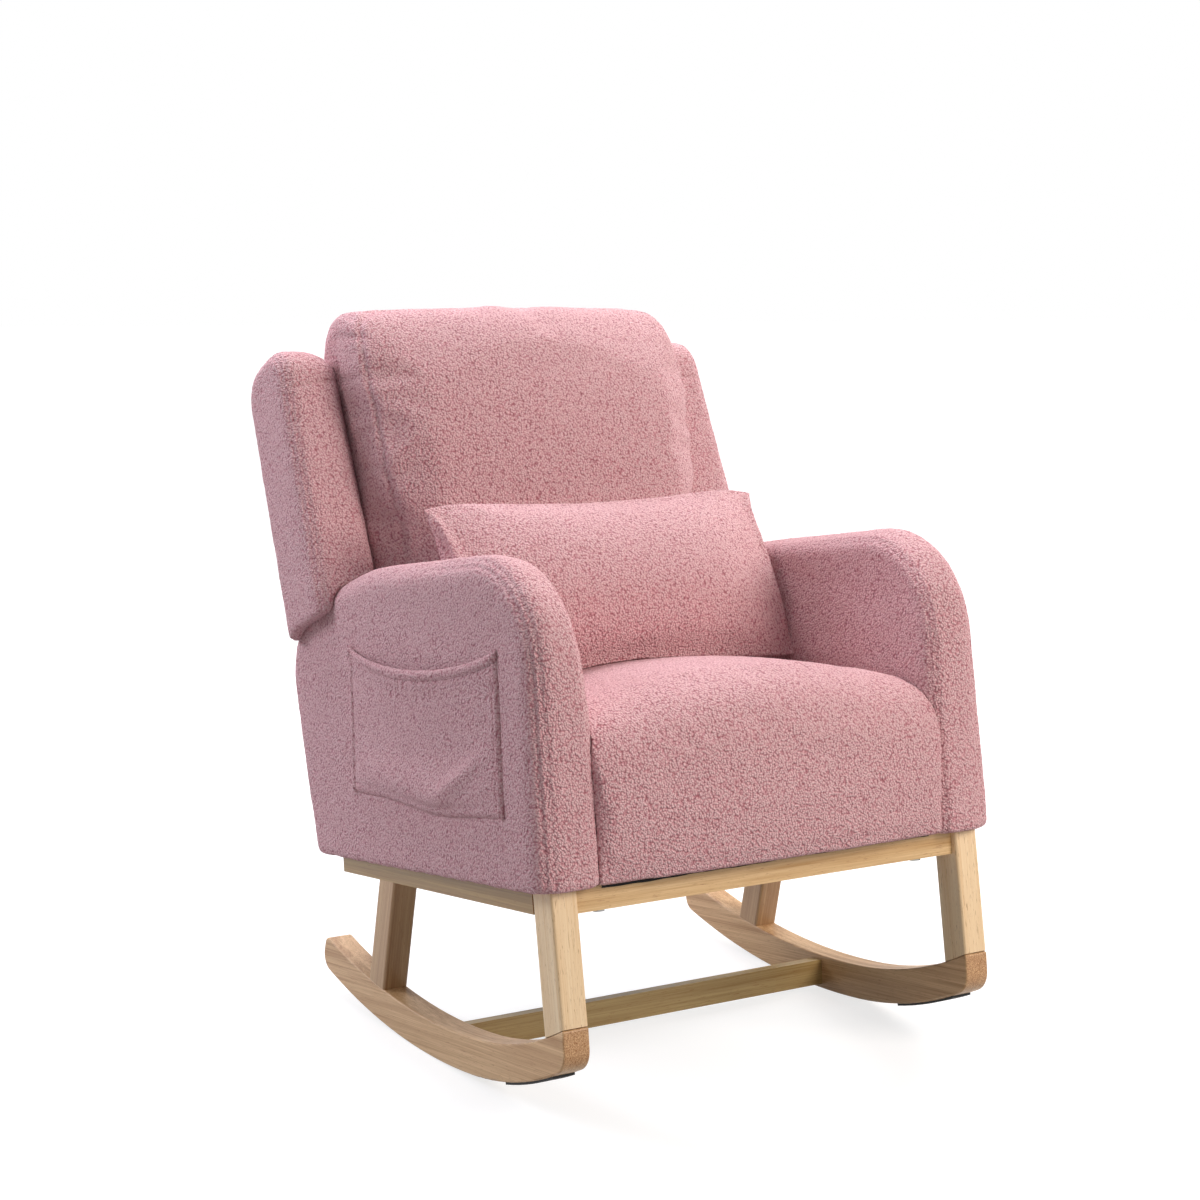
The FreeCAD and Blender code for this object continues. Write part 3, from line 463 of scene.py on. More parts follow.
def teddy_cloth(name, tip_light, pile, flank, hollow_shade):
    material, tree = blank_material(name)
    place = add(tree, "ShaderNodeTexCoord").outputs["Object"]
    sway = add(
        tree, "ShaderNodeTexNoise", {"Scale": 1 / SWAY, "Detail": 1.0}, {"Vector": place}
    ).outputs["Color"]
    bent = add(
        tree,
        "ShaderNodeVectorMath",
        {"operation": "MULTIPLY_ADD", 1: (SWAY_REACH, SWAY_REACH, SWAY_REACH)},
        {0: sway, 2: place},
    ).outputs[0]
    tufts = add(
        tree, "ShaderNodeTexVoronoi", {"feature": "F1", "Scale": 1 / TUFT}, {"Vector": bent}
    ).outputs["Distance"]
    curls = add(
        tree,
        "ShaderNodeTexNoise",
        {"Scale": 1 / CURL, "Detail": 2.0, "Roughness": 0.6, "Distortion": 0.6},
        {"Vector": bent},
    ).outputs["Fac"]
    rough = add(
        tree,
        "ShaderNodeMath",
        {"operation": "MULTIPLY_ADD", 1: -0.6},
        {0: curls, 2: tufts},
    ).outputs[0]
    height = add(
        tree,
        "ShaderNodeMapRange",
        {"From Min": -0.15, "From Max": 0.68, "To Min": 1.0, "To Max": 0.0},
        {"Value": rough},
    ).outputs["Result"]
    # The ramp paints shade into the hollows and light onto the tips of the pile
    ramp = add(tree, "ShaderNodeValToRGB", {}, {"Fac": height})
    ramp.color_ramp.elements[0].position = 0.05
    ramp.color_ramp.elements[0].color = linear(hollow_shade)
    ramp.color_ramp.elements[1].position = 0.9
    ramp.color_ramp.elements[1].color = linear(tip_light)
    ramp.color_ramp.elements.new(0.3).color = linear(flank)
    ramp.color_ramp.elements.new(0.5).color = linear(pile)
    bump = add(tree, "ShaderNodeBump", {"Strength": 1.0, "Distance": PILE_DEPTH}, {"Height": height})
    shader = add(
        tree,
        "ShaderNodeBsdfPrincipled",
        {
            "Roughness": 0.95,
            "Specular IOR Level": 0.12,
            "Sheen Weight": 0.4,
            "Sheen Roughness": 0.5,
            "Sheen Tint": linear("#f2dfe2"),
        },
        {"Base Color": ramp.outputs["Color"], "Normal": bump.outputs["Normal"]},
    )
    add(tree, "ShaderNodeOutputMaterial", {}, {"Surface": shader.outputs[0]})
    return material


teddy = teddy_cloth("teddy_cloth", "#ecc5c7", "#daa4a8", "#ca8d93", "#aa6a71")
# Width and rise of the nubs that the pile gathers into, and of the dimples in the foam
NUB, NUB_RISE = 0.006, 0.0004
DIMPLE, DIMPLE_RISE = 0.03, 0.0007


def dress(piece, node, body):
    """The last steps of a padded piece: a nubbed surface, its cloth and its place on the chair."""
    points = coordinates(piece)
    normals = coordinates(piece, "normal")
    for i, point in enumerate(points):
        here = Vector(point)
        swell = NUB_RISE * noise.noise(here / NUB) + DIMPLE_RISE * noise.noise(here / DIMPLE)
        points[i] = point + normals[i] * swell
    place_vertices(piece, points)
    piece.data.shade_smooth()
    piece.data.materials.clear()
    piece.data.materials.append(teddy)
    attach(piece, body)
    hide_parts(node)


SEAT_BASE = 258.0
ARM_INNER_X = 258.0
ARM_OUTER_X = 345.0
ARM_INNER_EDGE = 24.0
ARM_OUTER_EDGE = 31.0
EDGE_STEPS = 5
# Where round an edge the two stitch lines run, their depth on the arms and their width
STITCH_ANGLES = (0.72, 1.02)
ARM_STITCH = 0.0020
STITCH_WIDTH = 0.0032


def arm_outline(inset):
    """The arm from the side, drawn in by inset: front foot, front curve, top, rear curve and rear foot."""
    return rounded(
        [
            (-248.0 + inset, SEAT_BASE, 0),
            (-239.0 + inset, 667.0 - inset, 142.0 - inset),
            (210.0, 650.0 - inset, 500.0 - inset),
            (470.0 - inset, 588.0 - inset, 110.0 - inset),
            (401.0 - inset, SEAT_BASE - 6.0, 0),
        ]
    )


def arm_ring(x, inset):
    return [tilted(x, y, z) for y, z in arm_outline(inset)]


def edge_profile(low, high, low_edge, high_edge):
    """Steps across a soft-edged slab as (place across, inset of the outline)."""
    near = []
    far = []
    for k in range(EDGE_STEPS + 1):
        angle = QUARTER * k / EDGE_STEPS
        across, inset = 1 - math.cos(angle), 1 - math.sin(angle)
        near.append((low + low_edge * across, low_edge * inset))
        far.insert(0, (high - high_edge * across, high_edge * inset))
    return near + far


def arm_seams():
    """The two stitch lines along each edge of the arm's band."""
    lines = []
    for side, inward, edge in ((ARM_INNER_X, 1, ARM_INNER_EDGE), (ARM_OUTER_X, -1, ARM_OUTER_EDGE)):
        for angle in STITCH_ANGLES:
            x = side + inward * edge * (1 - math.cos(angle))
            inset = edge * (1 - math.sin(angle))
            lines.append([tilted(x, y, z) for y, z in arm_outline(inset)])
    return lines


def mirrored_copy(piece, name):
    points = coordinates(piece) * np.array((-1.0, 1.0, 1.0), np.float32)
    faces = [tuple(reversed(face.vertices)) for face in piece.data.polygons]
    return new_piece(name, [Vector(p) for p in points], faces)


def mirrored_lines(lines):
    return [[Vector((-p.x, p.y, p.z)) for p in line] for line in lines]


def rising(values, start, length):
    """0 up to start, then up to 1 over that length. A negative length runs the other way."""
    return np.clip((values - start) / length, 0, 1)


arm_left = loft(
    "arm_cover_left",
    [
        arm_ring(x, inset)
        for x, inset in edge_profile(ARM_INNER_X, ARM_OUTER_X, ARM_INNER_EDGE, ARM_OUTER_EDGE)
    ],
)
even(arm_left, 0.006, 4)
refine(arm_left)
# The foam thins out along the inner edge of the top, the outer face leans out towards its foot, and the
# top is crowned along a line nearer to the outer edge
INNER_THINNING = 0.008
FOOT_FLARE = 0.008
CROWN_X, CROWN_WIDTH, CROWN_RISE = 0.318, 0.018, 0.003
points = coordinates(arm_left)
normals = coordinates(arm_left, "normal")
soft_edge = rising(points[:, 0], 0.300, -0.042) * rising(points[:, 2], 0.50, 0.10)
points -= normals * soft_edge[:, None] * INNER_THINNING
flare = rising(points[:, 2], 0.60, -0.26) * rising(points[:, 0], 0.30, 0.03)
points[:, 0] += flare * FOOT_FLARE
crown = np.exp(-(((points[:, 0] - CROWN_X) / CROWN_WIDTH) ** 2)) * rising(points[:, 2], 0.50, 0.10)
points += normals * crown[:, None] * CROWN_RISE
place_vertices(arm_left, points)
arm_right = mirrored_copy(arm_left, "arm_cover_right")


def along_top(point):
    """How much of the stitching shows: it sinks into the pile behind the curve of the arm."""
    return 1.0 - 0.75 * min(1.0, max(0.0, (point[1] + 0.19) / 0.12))


seams = arm_seams()
press_seams(arm_left, seams, ARM_STITCH, STITCH_WIDTH, along_top)
press_seams(arm_right, mirrored_lines(seams), ARM_STITCH, STITCH_WIDTH, along_top)
dress(arm_left, "arm_pad_left", "chair")
dress(arm_right, "arm_pad_right", "chair")

# Seat
# One block of foam under teddy cloth, which is pulled over the front of the seat box and stapled under it.
# The foam is crowned, rolls over the front edge and presses against the arms.


def cad_form(name, node):
    """A copy of a soft solid's outer skin."""
    source = nodes[node].data
    work = bmesh.new()
    work.from_mesh(source)
    bmesh.ops.remove_doubles(work, verts=work.verts[:], dist=1e-6)
    left = set(work.verts)
    islands = []
    while left:
        front = [left.pop()]
        island = []
        while front:
            vertex = front.pop()
            island.append(vertex)
            for edge in vertex.link_edges:
                other = edge.other_vert(vertex)
                if other in left:
                    left.remove(other)
                    front.append(other)
        islands.append(island)
    islands.sort(key=lambda island: max(v.co.z for v in island))
    for island in islands[:-1]:
        bmesh.ops.delete(work, geom=island, context="VERTS")
    mesh = bpy.data.meshes.new(name)
    work.to_mesh(mesh)
    work.free()
    piece = bpy.data.objects.new(name, mesh)
    scene.collection.objects.link(piece)
    return piece


def seat_sewn(points):
    """Where the cloth is stapled, along the foot of the seat."""
    low = tilted(0, 0, SEAT_BASE + 14)
    return points[:, 2] < low.z - (points[:, 1] - low.y) * math.tan(REST_TILT)


def levelled(points):
    """Points of the chair at rest, in metres, as x, y and z of the level chair in mm."""
    y = points[:, 1] * 1000 + REST_SHIFT
    z = points[:, 2] * 1000 - ROCKER_RADIUS
    return (
        points[:, 0] * 1000,
        y * math.cos(REST_TILT) - z * math.sin(REST_TILT),
        y * math.sin(REST_TILT) + z * math.cos(REST_TILT) + ROCKER_RADIUS,
    )


seat = cad_form("seat_cover", "seat_cushion")
even(seat, 0.006, 8)
puff(seat, 1.5, 0.004, 0.003, seat_sewn)
refine(seat)
# The top sits lower and falls away to the sides, but less so in front, where the corners are full and the
# foam rolls forward
SEAT_SAG = 0.003
SIDE_FALL = 0.010
SEAT_HALF = 0.25
CORNER_FILL = 0.007
FRONT_ROLL = 0.009
points = coordinates(seat)
x, y, z = levelled(points)
beside = rising(np.abs(x), 170, 85)
upper = rising(points[:, 2], 0.36, 0.08)
forward = rising(y, -60, -120)
points[:, 2] -= upper * (SEAT_SAG + SIDE_FALL * np.abs(points[:, 0] / SEAT_HALF) ** 2.5 * (1 - forward))
points[:, 2] += upper * forward * beside * CORNER_FILL
points[:, 1] -= rising(y, -120, -80) * rising(z, 268, 70) * FRONT_ROLL
# The sides spread until they meet the arms, and more at the front, where nothing stops them past the arms
SIDE_SPREAD = 0.002
FRONT_SPREAD = 0.010
ARM_GAP = 0.0004
SPREAD_LIMIT = 0.266
skin = BVHTree.FromObject(arm_left, bpy.context.evaluated_depsgraph_get())
for i, point in enumerate(points):
    if abs(point[0]) < 0.2:
        continue
    reach = abs(point[0]) + SIDE_SPREAD + FRONT_SPREAD * min(1.0, max(0.0, (-190 - y[i]) / 25))
    hit = skin.ray_cast(Vector((0.19, point[1], point[2])), Vector((1, 0, 0)))[0]
    limit = hit.x - ARM_GAP if hit is not None else SPREAD_LIMIT
    points[i, 0] = math.copysign(min(reach, limit), point[0])
place_vertices(seat, points)
dress(seat, "seat_cushion", "chair")

# Dust cover edge, partly painted shade
# The front edge of the black cloth under the seat, turned down over the front rail and cut a little
# unevenly, so that a thin dark line shows below the seat. The line is partly this cloth and partly
# painted shade in the gap between the seat and the front rail.
EDGE_LENGTH = 508.0
EDGE_COUNT = 60
EDGE_FRONT = -224.2
EDGE_LOW = 253.8
EDGE_RISE = 3.2
EDGE_THICKNESS = 0.0006
points = []
for i in range(EDGE_COUNT + 1):
    x = EDGE_LENGTH * (i / EDGE_COUNT - 0.5)
    low = EDGE_LOW + EDGE_RISE * i / EDGE_COUNT + 0.4 * math.sin(x / 23) + 0.3 * math.sin(x / 7)
    for z in (low, SEAT_BASE, SEAT_BASE + 6):
        points.append(tilted(x, EDGE_FRONT, z))
faces = [
    (3 * i + k, 3 * i + k + 3, 3 * i + k + 4, 3 * i + k + 1) for i in range(EDGE_COUNT) for k in range(2)
]
edge_and_shade_strip = new_piece("dust_cover_edge_and_shade", points, faces)
thick = edge_and_shade_strip.modifiers.new("cloth", "SOLIDIFY")
thick.thickness = EDGE_THICKNESS
bake(edge_and_shade_strip)
edge_and_shade_strip.data.materials.append(dust_cloth)
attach(edge_and_shade_strip, "chair")

# Back
# A rear cover of teddy cloth over thin padding, stretched flat across the posts, and two wings of foam on
# boards, covered in the same cloth and screwed to the outer faces of the posts above the arms.
RECLINE = math.radians(17.5)
BACK_FOOT_Y = 264.5


def reclined(x, y, z):
    """A point of the upright back, in mm, leant back on its foot and then with the chair at rest."""
    return tilted(
        x,
        BACK_FOOT_Y + y * math.cos(RECLINE) + z * math.sin(RECLINE),
        SEAT_BASE + z * math.cos(RECLINE) - y * math.sin(RECLINE),
    )


def upright(points):
    """Points of the chair at rest, in metres, as x, y and z of the upright back in mm."""
    x, y, z = levelled(points)
    y, z = y - BACK_FOOT_Y, z - SEAT_BASE
    return x, y * math.cos(RECLINE) - z * math.sin(RECLINE), y * math.sin(RECLINE) + z * math.cos(RECLINE)


back_cover = cad_form("rear_cover", "back_pad")
even(back_cover, 0.005, 4)
refine(back_cover)
# Above the arms the cover is drawn out to the wings
COVER_HALF = 0.2638
COVER_FLAT = 0.2
points = coordinates(back_cover)
half = np.abs(points[:, 0]).max()
beside = rising(np.abs(points[:, 0]), COVER_FLAT, half - COVER_FLAT)
beside = beside * rising(upright(points)[2], 300, 40)
points[:, 0] += np.sign(points[:, 0]) * beside * (COVER_HALF - half)
place_vertices(back_cover, points)
dress(back_cover, "back_pad", "chair")

WING_INNER_X = 264.0
WING_FOOT_X = 369.0
WING_HEAD_X = 357.0
WING_FRONT = -78.0
WING_REAR = 60.0
WING_TOP = 729.0
WING_FOOT = 295.0
WING_BOTTOM = 325.0
WING_EDGE = 27.0
# How far below the arm's top the outer part of the wing hangs beside it
WING_SKIRT = 33.0
WING_FRONT_RADIUS = 48.0
WING_REAR_RADIUS = 60.0
WING_STITCH = 0.0017


def wing_outline(inset):
    """The wing from the side, drawn in by inset, in the upright back."""
    return rounded(
        [
            (WING_FRONT + inset, WING_BOTTOM, 0),
            (WING_FRONT + inset, WING_TOP - inset, WING_FRONT_RADIUS - inset),
            (WING_REAR - inset, WING_TOP - inset, WING_REAR_RADIUS - inset),
            (WING_REAR - inset, WING_BOTTOM, 0),
        ]
    )


def wing_point(across, y, z):
    """across runs from 0 at the inner face to 1 at the outer face, which leans in towards its head."""
    share = (z - WING_FOOT) / (WING_TOP - WING_FOOT)
    outer = WING_FOOT_X + share * (WING_HEAD_X - WING_FOOT_X)
    return reclined(WING_INNER_X + across * (outer - WING_INNER_X), y, z)


def wing_ring(x, inset):
    width = WING_FOOT_X - WING_INNER_X
    return [wing_point((x - WING_INNER_X) / width, y, z) for y, z in wing_outline(inset)]


wing_left = loft(
    "wing_cover_left",
    [wing_ring(x, inset) for x, inset in edge_profile(WING_INNER_X, WING_FOOT_X, WING_EDGE, WING_EDGE)],
)
# The wing is hollowed to sit over the arm with a little room, and its outer part is cut off beside the arm
GAP = 0.5
over_arm = [
    arm_ring(x, inset - GAP)
    for x, inset in edge_profile(
        ARM_INNER_X - GAP, ARM_OUTER_X + GAP, ARM_INNER_EDGE + GAP, ARM_OUTER_EDGE + GAP
    )
]
beside_arm = [arm_ring(x, WING_SKIRT) for x in (ARM_OUTER_X - 10, WING_FOOT_X + 20)]
for rings in (over_arm, beside_arm):
    arm_tool = loft("arm_tool", rings)
    trim = wing_left.modifiers.new("trim", "BOOLEAN")
    trim.operation = "DIFFERENCE"
    trim.object = arm_tool
    bake(wing_left)
    bpy.data.objects.remove(arm_tool)
even(wing_left, 0.005, 3)
refine(wing_left)
# The head falls away towards the cushion, and the left wing was stuffed a little taller than the right
HEAD_DROP = 14.0
LEFT_LIFT = 6.0
up_back = np.array(reclined(0, 0, 1) - reclined(0, 0, 0))
points = coordinates(wing_left)
x, y, z = upright(points)
drop = HEAD_DROP * rising(x, 312, -48) ** 1.4 * rising(z, 650, 70)
points -= drop[:, None] * up_back
place_vertices(wing_left, points)
wing_right = mirrored_copy(wing_left, "wing_cover_right")
lift = LEFT_LIFT * rising(z, 450, 280)
place_vertices(wing_left, points + lift[:, None] * up_back)


def wing_seams():
    """The stitch lines of the front band: a pair at its outer edge, one inside and one across its head."""
    lines = []
    width = WING_FOOT_X - WING_INNER_X
    for angle, outer in ((STITCH_ANGLES[0], True), (STITCH_ANGLES[1], True), (0.8, False)):
        off = WING_EDGE * (1 - math.cos(angle)) / width
        across = 1 - off if outer else off
        inset = WING_EDGE * (1 - math.sin(angle))
        lines.append([wing_point(across, y, z) for y, z in wing_outline(inset)])
    lines.append(
        [wing_point(0.1 + 0.8 * k / 10, WING_FRONT, WING_TOP - 60 - k) for k in range(11)]
    )
    return lines


# The edges of the boards in the wings, where they show from behind, are covered with the same cloth
for piece_name in ("wing_spacers", "wing_frame_left", "wing_frame_right"):
    finish_node(piece_name, teddy)
seams = wing_seams()
press_seams(wing_left, seams, WING_STITCH, STITCH_WIDTH)
press_seams(wing_right, mirrored_lines(seams), WING_STITCH, STITCH_WIDTH)
dress(wing_left, "wing_pad_left", "chair")
dress(wing_right, "wing_pad_right", "chair")

# Back cushion
# A boxed cushion of loose fibre, zipped to the back. Its front panel is joined to a border by one seam,
# and the border is drawn into short creases where it turns.
CUSHION_BOTTOM = 208.0
CUSHION_TOP = 771.0
CUSHION_HALF = 262
# Share of the height, half width and the depth of the front edge, up the seam between panel and border
CUSHION_SEAM = (
    (0.02, 243, -90),
    (0.14, 252, -104),
    (0.38, 253, -114),
    (0.52, 257, -124),
    (0.7, 259, -132),
    (0.83, 258, -129),
    (0.93, 251, -119),
)
# Height, slope and length of the creases that run back from the seam, in mm
CUSHION_CREASES = (
    (300, 6, 42),
    (352, -4, 36),
    (430, 8, 48),
    (505, 12, 40),
    (562, -6, 34),
    (640, 9, 44),
    (700, 16, 38),
    (738, 24, 30),
)
ZIP_Y = -14
TOP_SETTLING = 0.004


def cushion_sewn(points):
    """The rear panel, which the zip holds to the back."""
    return upright(points)[1] > ZIP_Y


cushion = cad_form("back_cushion_cover", "back_cushion")
points = coordinates(cushion)
points[:, 2] -= rising(upright(points)[2], 500, 270) * TOP_SETTLING
place_vertices(cushion, points)
even(cushion, 0.006, 6)
puff(cushion, 4.0, 0.022, 0.018, cushion_sewn)
relax(cushion, 14)
refine(cushion)
rise = CUSHION_TOP - CUSHION_BOTTOM
up_left = [reclined(half, y, CUSHION_BOTTOM + share * rise) for share, half, y in CUSHION_SEAM]
up_right = mirrored_lines([up_left])[0]
over = [reclined(x, -112 + abs(x) * 0.02, CUSHION_TOP - 12) for x in (226, 150, 60, 0, -60, -150, -226)]
press_seams(cushion, [up_left + over + up_right[::-1]], depth=0.0034, width=0.0042)
creases = []
for height, slope, length in CUSHION_CREASES:
    for side in (1, -1):
        shift = 17 if side < 0 else 0
        creases.append(
            [
                reclined(side * CUSHION_HALF, -118 + k * length / 4, height + shift + slope * k / 4)
                for k in range(5)
            ]
        )
press_seams(cushion, creases, depth=0.0022, width=0.005)
# The fibre lies in low waves along the top. In front of the wings the cushion spreads, leans a little to
# the left and stands forward, and it draws in again towards its head. Between the wings it can't spread.
SIDE_LEAN = 0.005
FREE_SPREAD = 0.010
HEAD_NARROWING = 0.007
FORWARD_LEAN = 0.013
WING_FACE_Y = -84
HALF_BETWEEN_WINGS = 0.2625
HALF_IN_FRONT = 0.286
points = coordinates(cushion)
x, y, z = upright(points)
crest = rising(z, 690, 80)
lift = crest * (0.9 * np.cos(x / 38.0 + 0.6) + 0.3 * np.cos(x / 19.0 + 2.0)) / 1000
points[:, 2] += lift
free = rising(y, WING_FACE_Y, -40) * rising(z, 215, 150)
narrow = rising(z, 630, 90) * np.clip(x / 200, -1, 1)
spread = FREE_SPREAD * np.sign(x) * np.abs(x / CUSHION_HALF) ** 6
points[:, 0] += free * (SIDE_LEAN + spread - HEAD_NARROWING * narrow)
points[:, 1] -= free * FORWARD_LEAN
beside_wing = (z < 735) & (y > WING_FACE_Y)
limit = np.where(beside_wing, HALF_BETWEEN_WINGS, HALF_IN_FRONT)
points[:, 0] = np.clip(points[:, 0], -limit, limit)
place_vertices(cushion, points)
dress(cushion, "back_cushion", "chair")

# Lumbar pillow
# Two panels of teddy cloth sewn together round the edge and filled with fibre, so the edges draw in
# between pointed corners. It lies loose on the seat against the back cushion.
PILLOW_LENGTH = 516.0
PILLOW_HEIGHT = 254.0
PILLOW_THICKNESS = 144.0
PILLOW_LEAN = math.radians(23.3)
PILLOW_FOOT_Y = 63.0
PILLOW_FOOT_Z = 498.8


def leaning(x, y, z):
    """A point of the upright pillow, in mm, leant back on the seat."""
    return tilted(
        x,
        PILLOW_FOOT_Y + y * math.cos(PILLOW_LEAN) + z * math.sin(PILLOW_LEAN),
        PILLOW_FOOT_Z + z * math.cos(PILLOW_LEAN) - y * math.sin(PILLOW_LEAN),
    )


def pillow_point(u, v, face):
    """A point of the front (-1) or rear (1) panel, with u and v from -1 to 1 across and up it."""
    # The edges draw in between the corners, which are pinched into ripples, and the fibre has slumped
    x = u * PILLOW_LENGTH / 2 * (1 - 0.01 * (1 - v * v))
    z = v * PILLOW_HEIGHT / 2 * (1 - (0.13 if v > 0 else 0.05) * (1 - u * u) ** 1.2)
    corner = abs(u * v) ** 9
    x += math.copysign(4.0 if v > 0 else -6.0, u) * corner
    z -= 10.0 * corner if v > 0 else 8.0 * abs(u) ** 4 * abs(v) ** 3
    fill = (1 - abs(u) ** 3.0) ** 0.6 * (1 - abs(v) ** 2.4) ** 0.62
    drawn = math.exp(-(((1 - abs(u)) / 0.2) ** 2 + ((1 - abs(v)) / 0.3) ** 2))
    ripple = 5.0 * drawn * math.sin(9 * math.atan2(1.02 - abs(v), 1.02 - abs(u)))
    slump = -11.0 * (1 - v * v) * (v - 0.1)
    y = face * (fill * (PILLOW_THICKNESS / 2 + slump) + ripple * fill)
    return leaning(x, y, z + PILLOW_HEIGHT / 2)


def row_place(share):
    """Where a row of points lies, from -1 to 1, with the rows closer together towards the edges."""
    return math.sin((share - 0.5) * math.pi * 0.9) / math.sin(math.pi * 0.45)


ACROSS = 110
UP = 56
points = []
index = {}
faces = []
for face in (-1, 1):
    for i in range(ACROSS + 1):
        for j in range(UP + 1):
            edge = i in (0, ACROSS) or j in (0, UP)
            key = (0 if edge else face, i, j)
            if key not in index:
                index[key] = len(points)
                points.append(pillow_point(row_place(i / ACROSS), row_place(j / UP), face))
            index[(face, i, j)] = index[key]
    for i in range(ACROSS):
        for j in range(UP):
            faces.append([index[(face, *c)] for c in ((i, j), (i + 1, j), (i + 1, j + 1), (i, j + 1))])
pillow = new_piece("lumbar_pillow_cover", points, faces)
puff(pillow, 3.0, 0.03, 0.006, lambda p: np.zeros(len(p), bool))
relax(pillow, 5)
refine(pillow)
# It is flattened where it lies on the seat and against the back cushion
TOUCH = 0.0015
under = BVHTree.FromObject(seat, bpy.context.evaluated_depsgraph_get())
behind = BVHTree.FromObject(cushion, bpy.context.evaluated_depsgraph_get())
points = coordinates(pillow)
for i, point in enumerate(points):
    hit = under.ray_cast(Vector((point[0], point[1], 0.8)), Vector((0, 0, -1)))[0]
    if hit is not None and point[2] < hit.z + TOUCH:
        points[i, 2] = hit.z + TOUCH
    hit = behind.ray_cast(Vector((point[0], -0.5, point[2])), Vector((0, 1, 0)))[0]
    if hit is not None and point[1] > hit.y - TOUCH:
        points[i, 1] = hit.y - TOUCH
place_vertices(pillow, points)
rim = [pillow_point(u / 40, 1, 1) for u in range(-40, 41)]
rim += [pillow_point(1, v / 20, 1) for v in range(20, -21, -1)]
rim += [pillow_point(u / 40, -1, 1) for u in range(40, -41, -1)]
rim += [pillow_point(-1, v / 20, 1) for v in range(-20, 21)]
press_seams(pillow, [rim], depth=0.0015, width=0.003)
dress(pillow, "lumbar_pillow", "pillow")

# Pockets
# A patch of teddy cloth sewn to the outside of each arm on three sides, cut slack so that it hangs open,
# with a turned hem stitched along the dipped mouth and gathered a little at its middle.
POCKET_FRONT = -161.0
POCKET_REAR = 245.0
POCKET_BOTTOM = 346.0
POCKET_TOP = 548.0
POCKET_DIP = 29.0
POCKET_CLOTH = 3.0
HEM = 10.0


def bell(value, middle, width):
    """1 at the middle, falling off smoothly to both sides."""
    return math.exp(-(((value - middle) / width) ** 2))


def pocket_sheet(side, arm):
    """The patch laid on the arm's cover, as a sheet of its own thickness."""
    skin = BVHTree.FromObject(arm, bpy.context.evaluated_depsgraph_get())
    sign = 1 if side == "left" else -1
    columns, rows = 210, 72
    points = []
    for i in range(columns + 1):
        along = i / columns
        y = POCKET_FRONT + along * (POCKET_REAR - POCKET_FRONT)
        open_way = 1 - (2 * along - 1) ** 2
        mouth = POCKET_TOP - POCKET_DIP * open_way ** 0.8
        hang = 9.0 * math.sin(math.pi * min(1.0, along / 0.8)) ** 2 * (along < 0.8)
        low = POCKET_BOTTOM + 6.0 * along ** 2 - hang
        for j in range(rows + 1):
            up = j / rows
            z = low + up * (mouth - low)
            lean = -6.0 * (1 - along) * (1 - up)
            from_hem = mouth - z
            edge = min(1.0, 14 * min(along, 1 - along)) * min(1.0, 10 * up)
            # How far the cloth stands off the arm, in mm: slack at the mouth and the foot, one fold,
            # puckers below the hem, the hem with its stitching, and the turned and sewn edges
            slack = 8.0 * open_way * up ** 1.5 + 11.0 * open_way * bell(up, 0.16, 0.16)
            fold = 7.0 * bell(up - 0.9 * (0.38 - along), 0.12, 0.07) * bell(along, 0.24, 0.14)
            pucker = 1.5 * math.sin(y / 3.4 + 2.1 * math.sin(y / 17)) * bell(from_hem, 20, 16)
            pucker *= bell(along, 0.5, 0.26)
            hem = 2.6 * math.sqrt(max(0.0, 1 - ((from_hem - HEM / 2) / (HEM / 2)) ** 2))
            stitch = -1.8 * bell(from_hem, HEM + 1.5, 2.0)
            from_side = min(along, 1 - along) * (POCKET_REAR - POCKET_FRONT)
            seam = 2.4 * bell(from_side, 4.5, 3.0) - 1.6 * bell(from_side, 10.0, 2.5)
            seam += 2.0 * bell(z - low, 4.5, 3.0)
            sewn = min(1.0, from_side / 7.0, (z - low) / 7.0)
            out = -2.6 + 3.4 * sewn + edge * (slack + fold + pucker) + hem + stitch + seam
            flat = tilted(0, y + lean, z)
            hit = skin.ray_cast(Vector((sign * 0.5, flat.y, flat.z)), Vector((-sign, 0, 0)))[0]
            x = hit.x if hit is not None else sign * ARM_OUTER_X / 1000
            points.append(Vector((x + sign * out / 1000, flat.y, flat.z)))
    faces = []
    for i in range(columns):
        for j in range(rows):
            a = i * (rows + 1) + j
            faces.append((a, a + rows + 1, a + rows + 2, a + 1))
    if sign < 0:
        faces = [tuple(reversed(face)) for face in faces]
    mesh = bpy.data.meshes.new("pocket_cover_" + side)
    mesh.from_pydata(points, [], faces)
    piece = bpy.data.objects.new("pocket_cover_" + side, mesh)
    scene.collection.objects.link(piece)
    thick = piece.modifiers.new("cloth", "SOLIDIFY")
    thick.thickness = POCKET_CLOTH / 1000
    thick.offset = 1.0
    bake(piece)
    return piece


for side, arm in (("left", arm_left), ("right", arm_right)):
    pocket = pocket_sheet(side, arm)
    pocket.data.shade_smooth()
    pocket.data.materials.append(teddy)
    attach(pocket, "chair")
    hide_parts("pocket_" + side)

# Studio
# A white floor and a white room with even light from all round. Of the four soft lamps the main one is in
# front on the right, one is overhead, one behind on the left, and a small one edges the chair on the right.
FLOOR = 30.0
floor = new_piece(
    "studio_floor",
    [(-FLOOR, -FLOOR, 0), (FLOOR, -FLOOR, 0), (FLOOR, FLOOR, 0), (-FLOOR, FLOOR, 0)],
    [(0, 1, 2, 3)],
)
white, tree = blank_material("white_floor")
shader = add(tree, "ShaderNodeBsdfDiffuse", {"Color": (0.36, 0.36, 0.36, 1.0)})
far = add(tree, "ShaderNodeTexCoord").outputs["Object"]
away = add(tree, "ShaderNodeVectorMath", {"operation": "LENGTH"}, {0: far}).outputs["Value"]
strength = add(
    tree,
    "ShaderNodeMapRange",
    {"From Min": 0.8, "From Max": 2.5, "To Min": 0.74, "To Max": 1.0},
    {"Value": away},
).outputs["Result"]
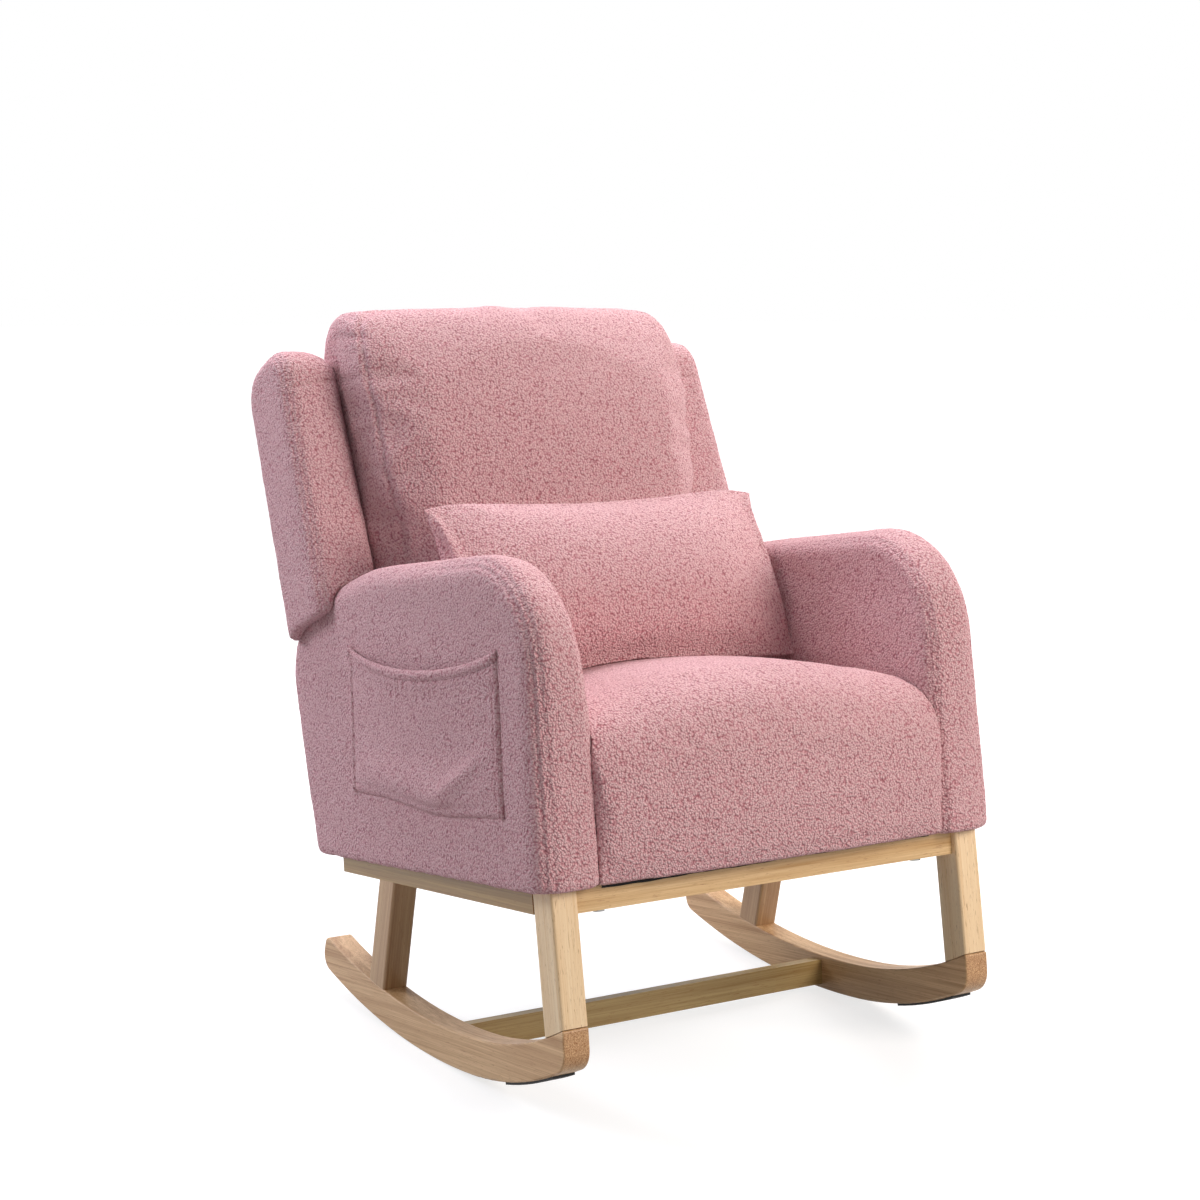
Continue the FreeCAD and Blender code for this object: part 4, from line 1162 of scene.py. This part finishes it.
glow = add(tree, "ShaderNodeEmission", {"Color": (1.0, 1.0, 1.0, 1.0)}, {"Strength": strength})


def seen_directly(tree):
    """1 for what the camera sees, straight or in a shiny or clear surface, and 0 for light that bounces."""
    path = add(tree, "ShaderNodeLightPath").outputs
    seen = path["Is Camera Ray"]
    for ray in ("Is Glossy Ray", "Is Transmission Ray"):
        seen = add(
            tree, "ShaderNodeMath", {"operation": "MAXIMUM"}, {0: seen, 1: path[ray]}
        ).outputs[0]
    return seen


seen = seen_directly(tree)
lit = add(tree, "ShaderNodeMixShader", {}, {0: seen, 1: shader.outputs[0]})
both = add(tree, "ShaderNodeAddShader", {}, {0: shader.outputs[0], 1: glow.outputs[0]})
tree.links.new(both.outputs[0], lit.inputs[2])
add(tree, "ShaderNodeOutputMaterial", {}, {"Surface": lit.outputs[0]})
floor.data.materials.append(white)

world = bpy.data.worlds.new("studio")
scene.world = world
world.use_nodes = True
tree = world.node_tree
tree.nodes.clear()
seen = seen_directly(tree)
soft = add(tree, "ShaderNodeBackground", {"Color": (0.95, 0.97, 1.0, 1.0), "Strength": 0.35})
bright = add(tree, "ShaderNodeBackground", {"Color": (1.0, 1.0, 1.0, 1.0), "Strength": 1.0})
around = add(
    tree, "ShaderNodeMixShader", {}, {0: seen, 1: soft.outputs[0], 2: bright.outputs[0]}
)
add(tree, "ShaderNodeOutputWorld", {}, {"Surface": around.outputs[0]})


def lamp(name, place, size, watts, colour):
    """A round lamp of that diameter, turned to the middle of the chair."""
    light = bpy.data.lights.new(name, "AREA")
    light.shape = "DISK"
    light.size = size
    light.energy = watts
    light.color = linear(colour)[:3]
    holder = bpy.data.objects.new(name, light)
    scene.collection.objects.link(holder)
    holder.location = place
    aim = Vector((0.0, 0.0, 0.5)) - Vector(place)
    holder.rotation_euler = aim.to_track_quat("-Z", "Y").to_euler()


lamp("key_lamp", (1.4, -2.7, 2.2), 2.0, 94.0, "#fff4ec")
lamp("top_lamp", (0.1, 1.4, 3.1), 2.0, 100.0, "#fbf8ff")
lamp("side_lamp", (-2.4, 2.2, 2.0), 1.6, 74.0, "#eef1ff")
lamp("rim_lamp", (2.5, 0.7, 1.5), 1.2, 42.0, "#ffffff")

# The camera, fitted to the outline in the photo
camera = bpy.data.objects.new("camera", bpy.data.cameras.new("camera"))
scene.collection.objects.link(camera)
camera.location = (-1.7061, -2.7302, 1.0443)
camera.rotation_euler = [math.radians(a) for a in (81.6963, -0.5513, -31.6657)]
camera.data.sensor_width = 36.0
camera.data.lens = 70.176
camera.data.clip_end = 100.0
scene.camera = camera

scene.view_settings.view_transform = "Standard"
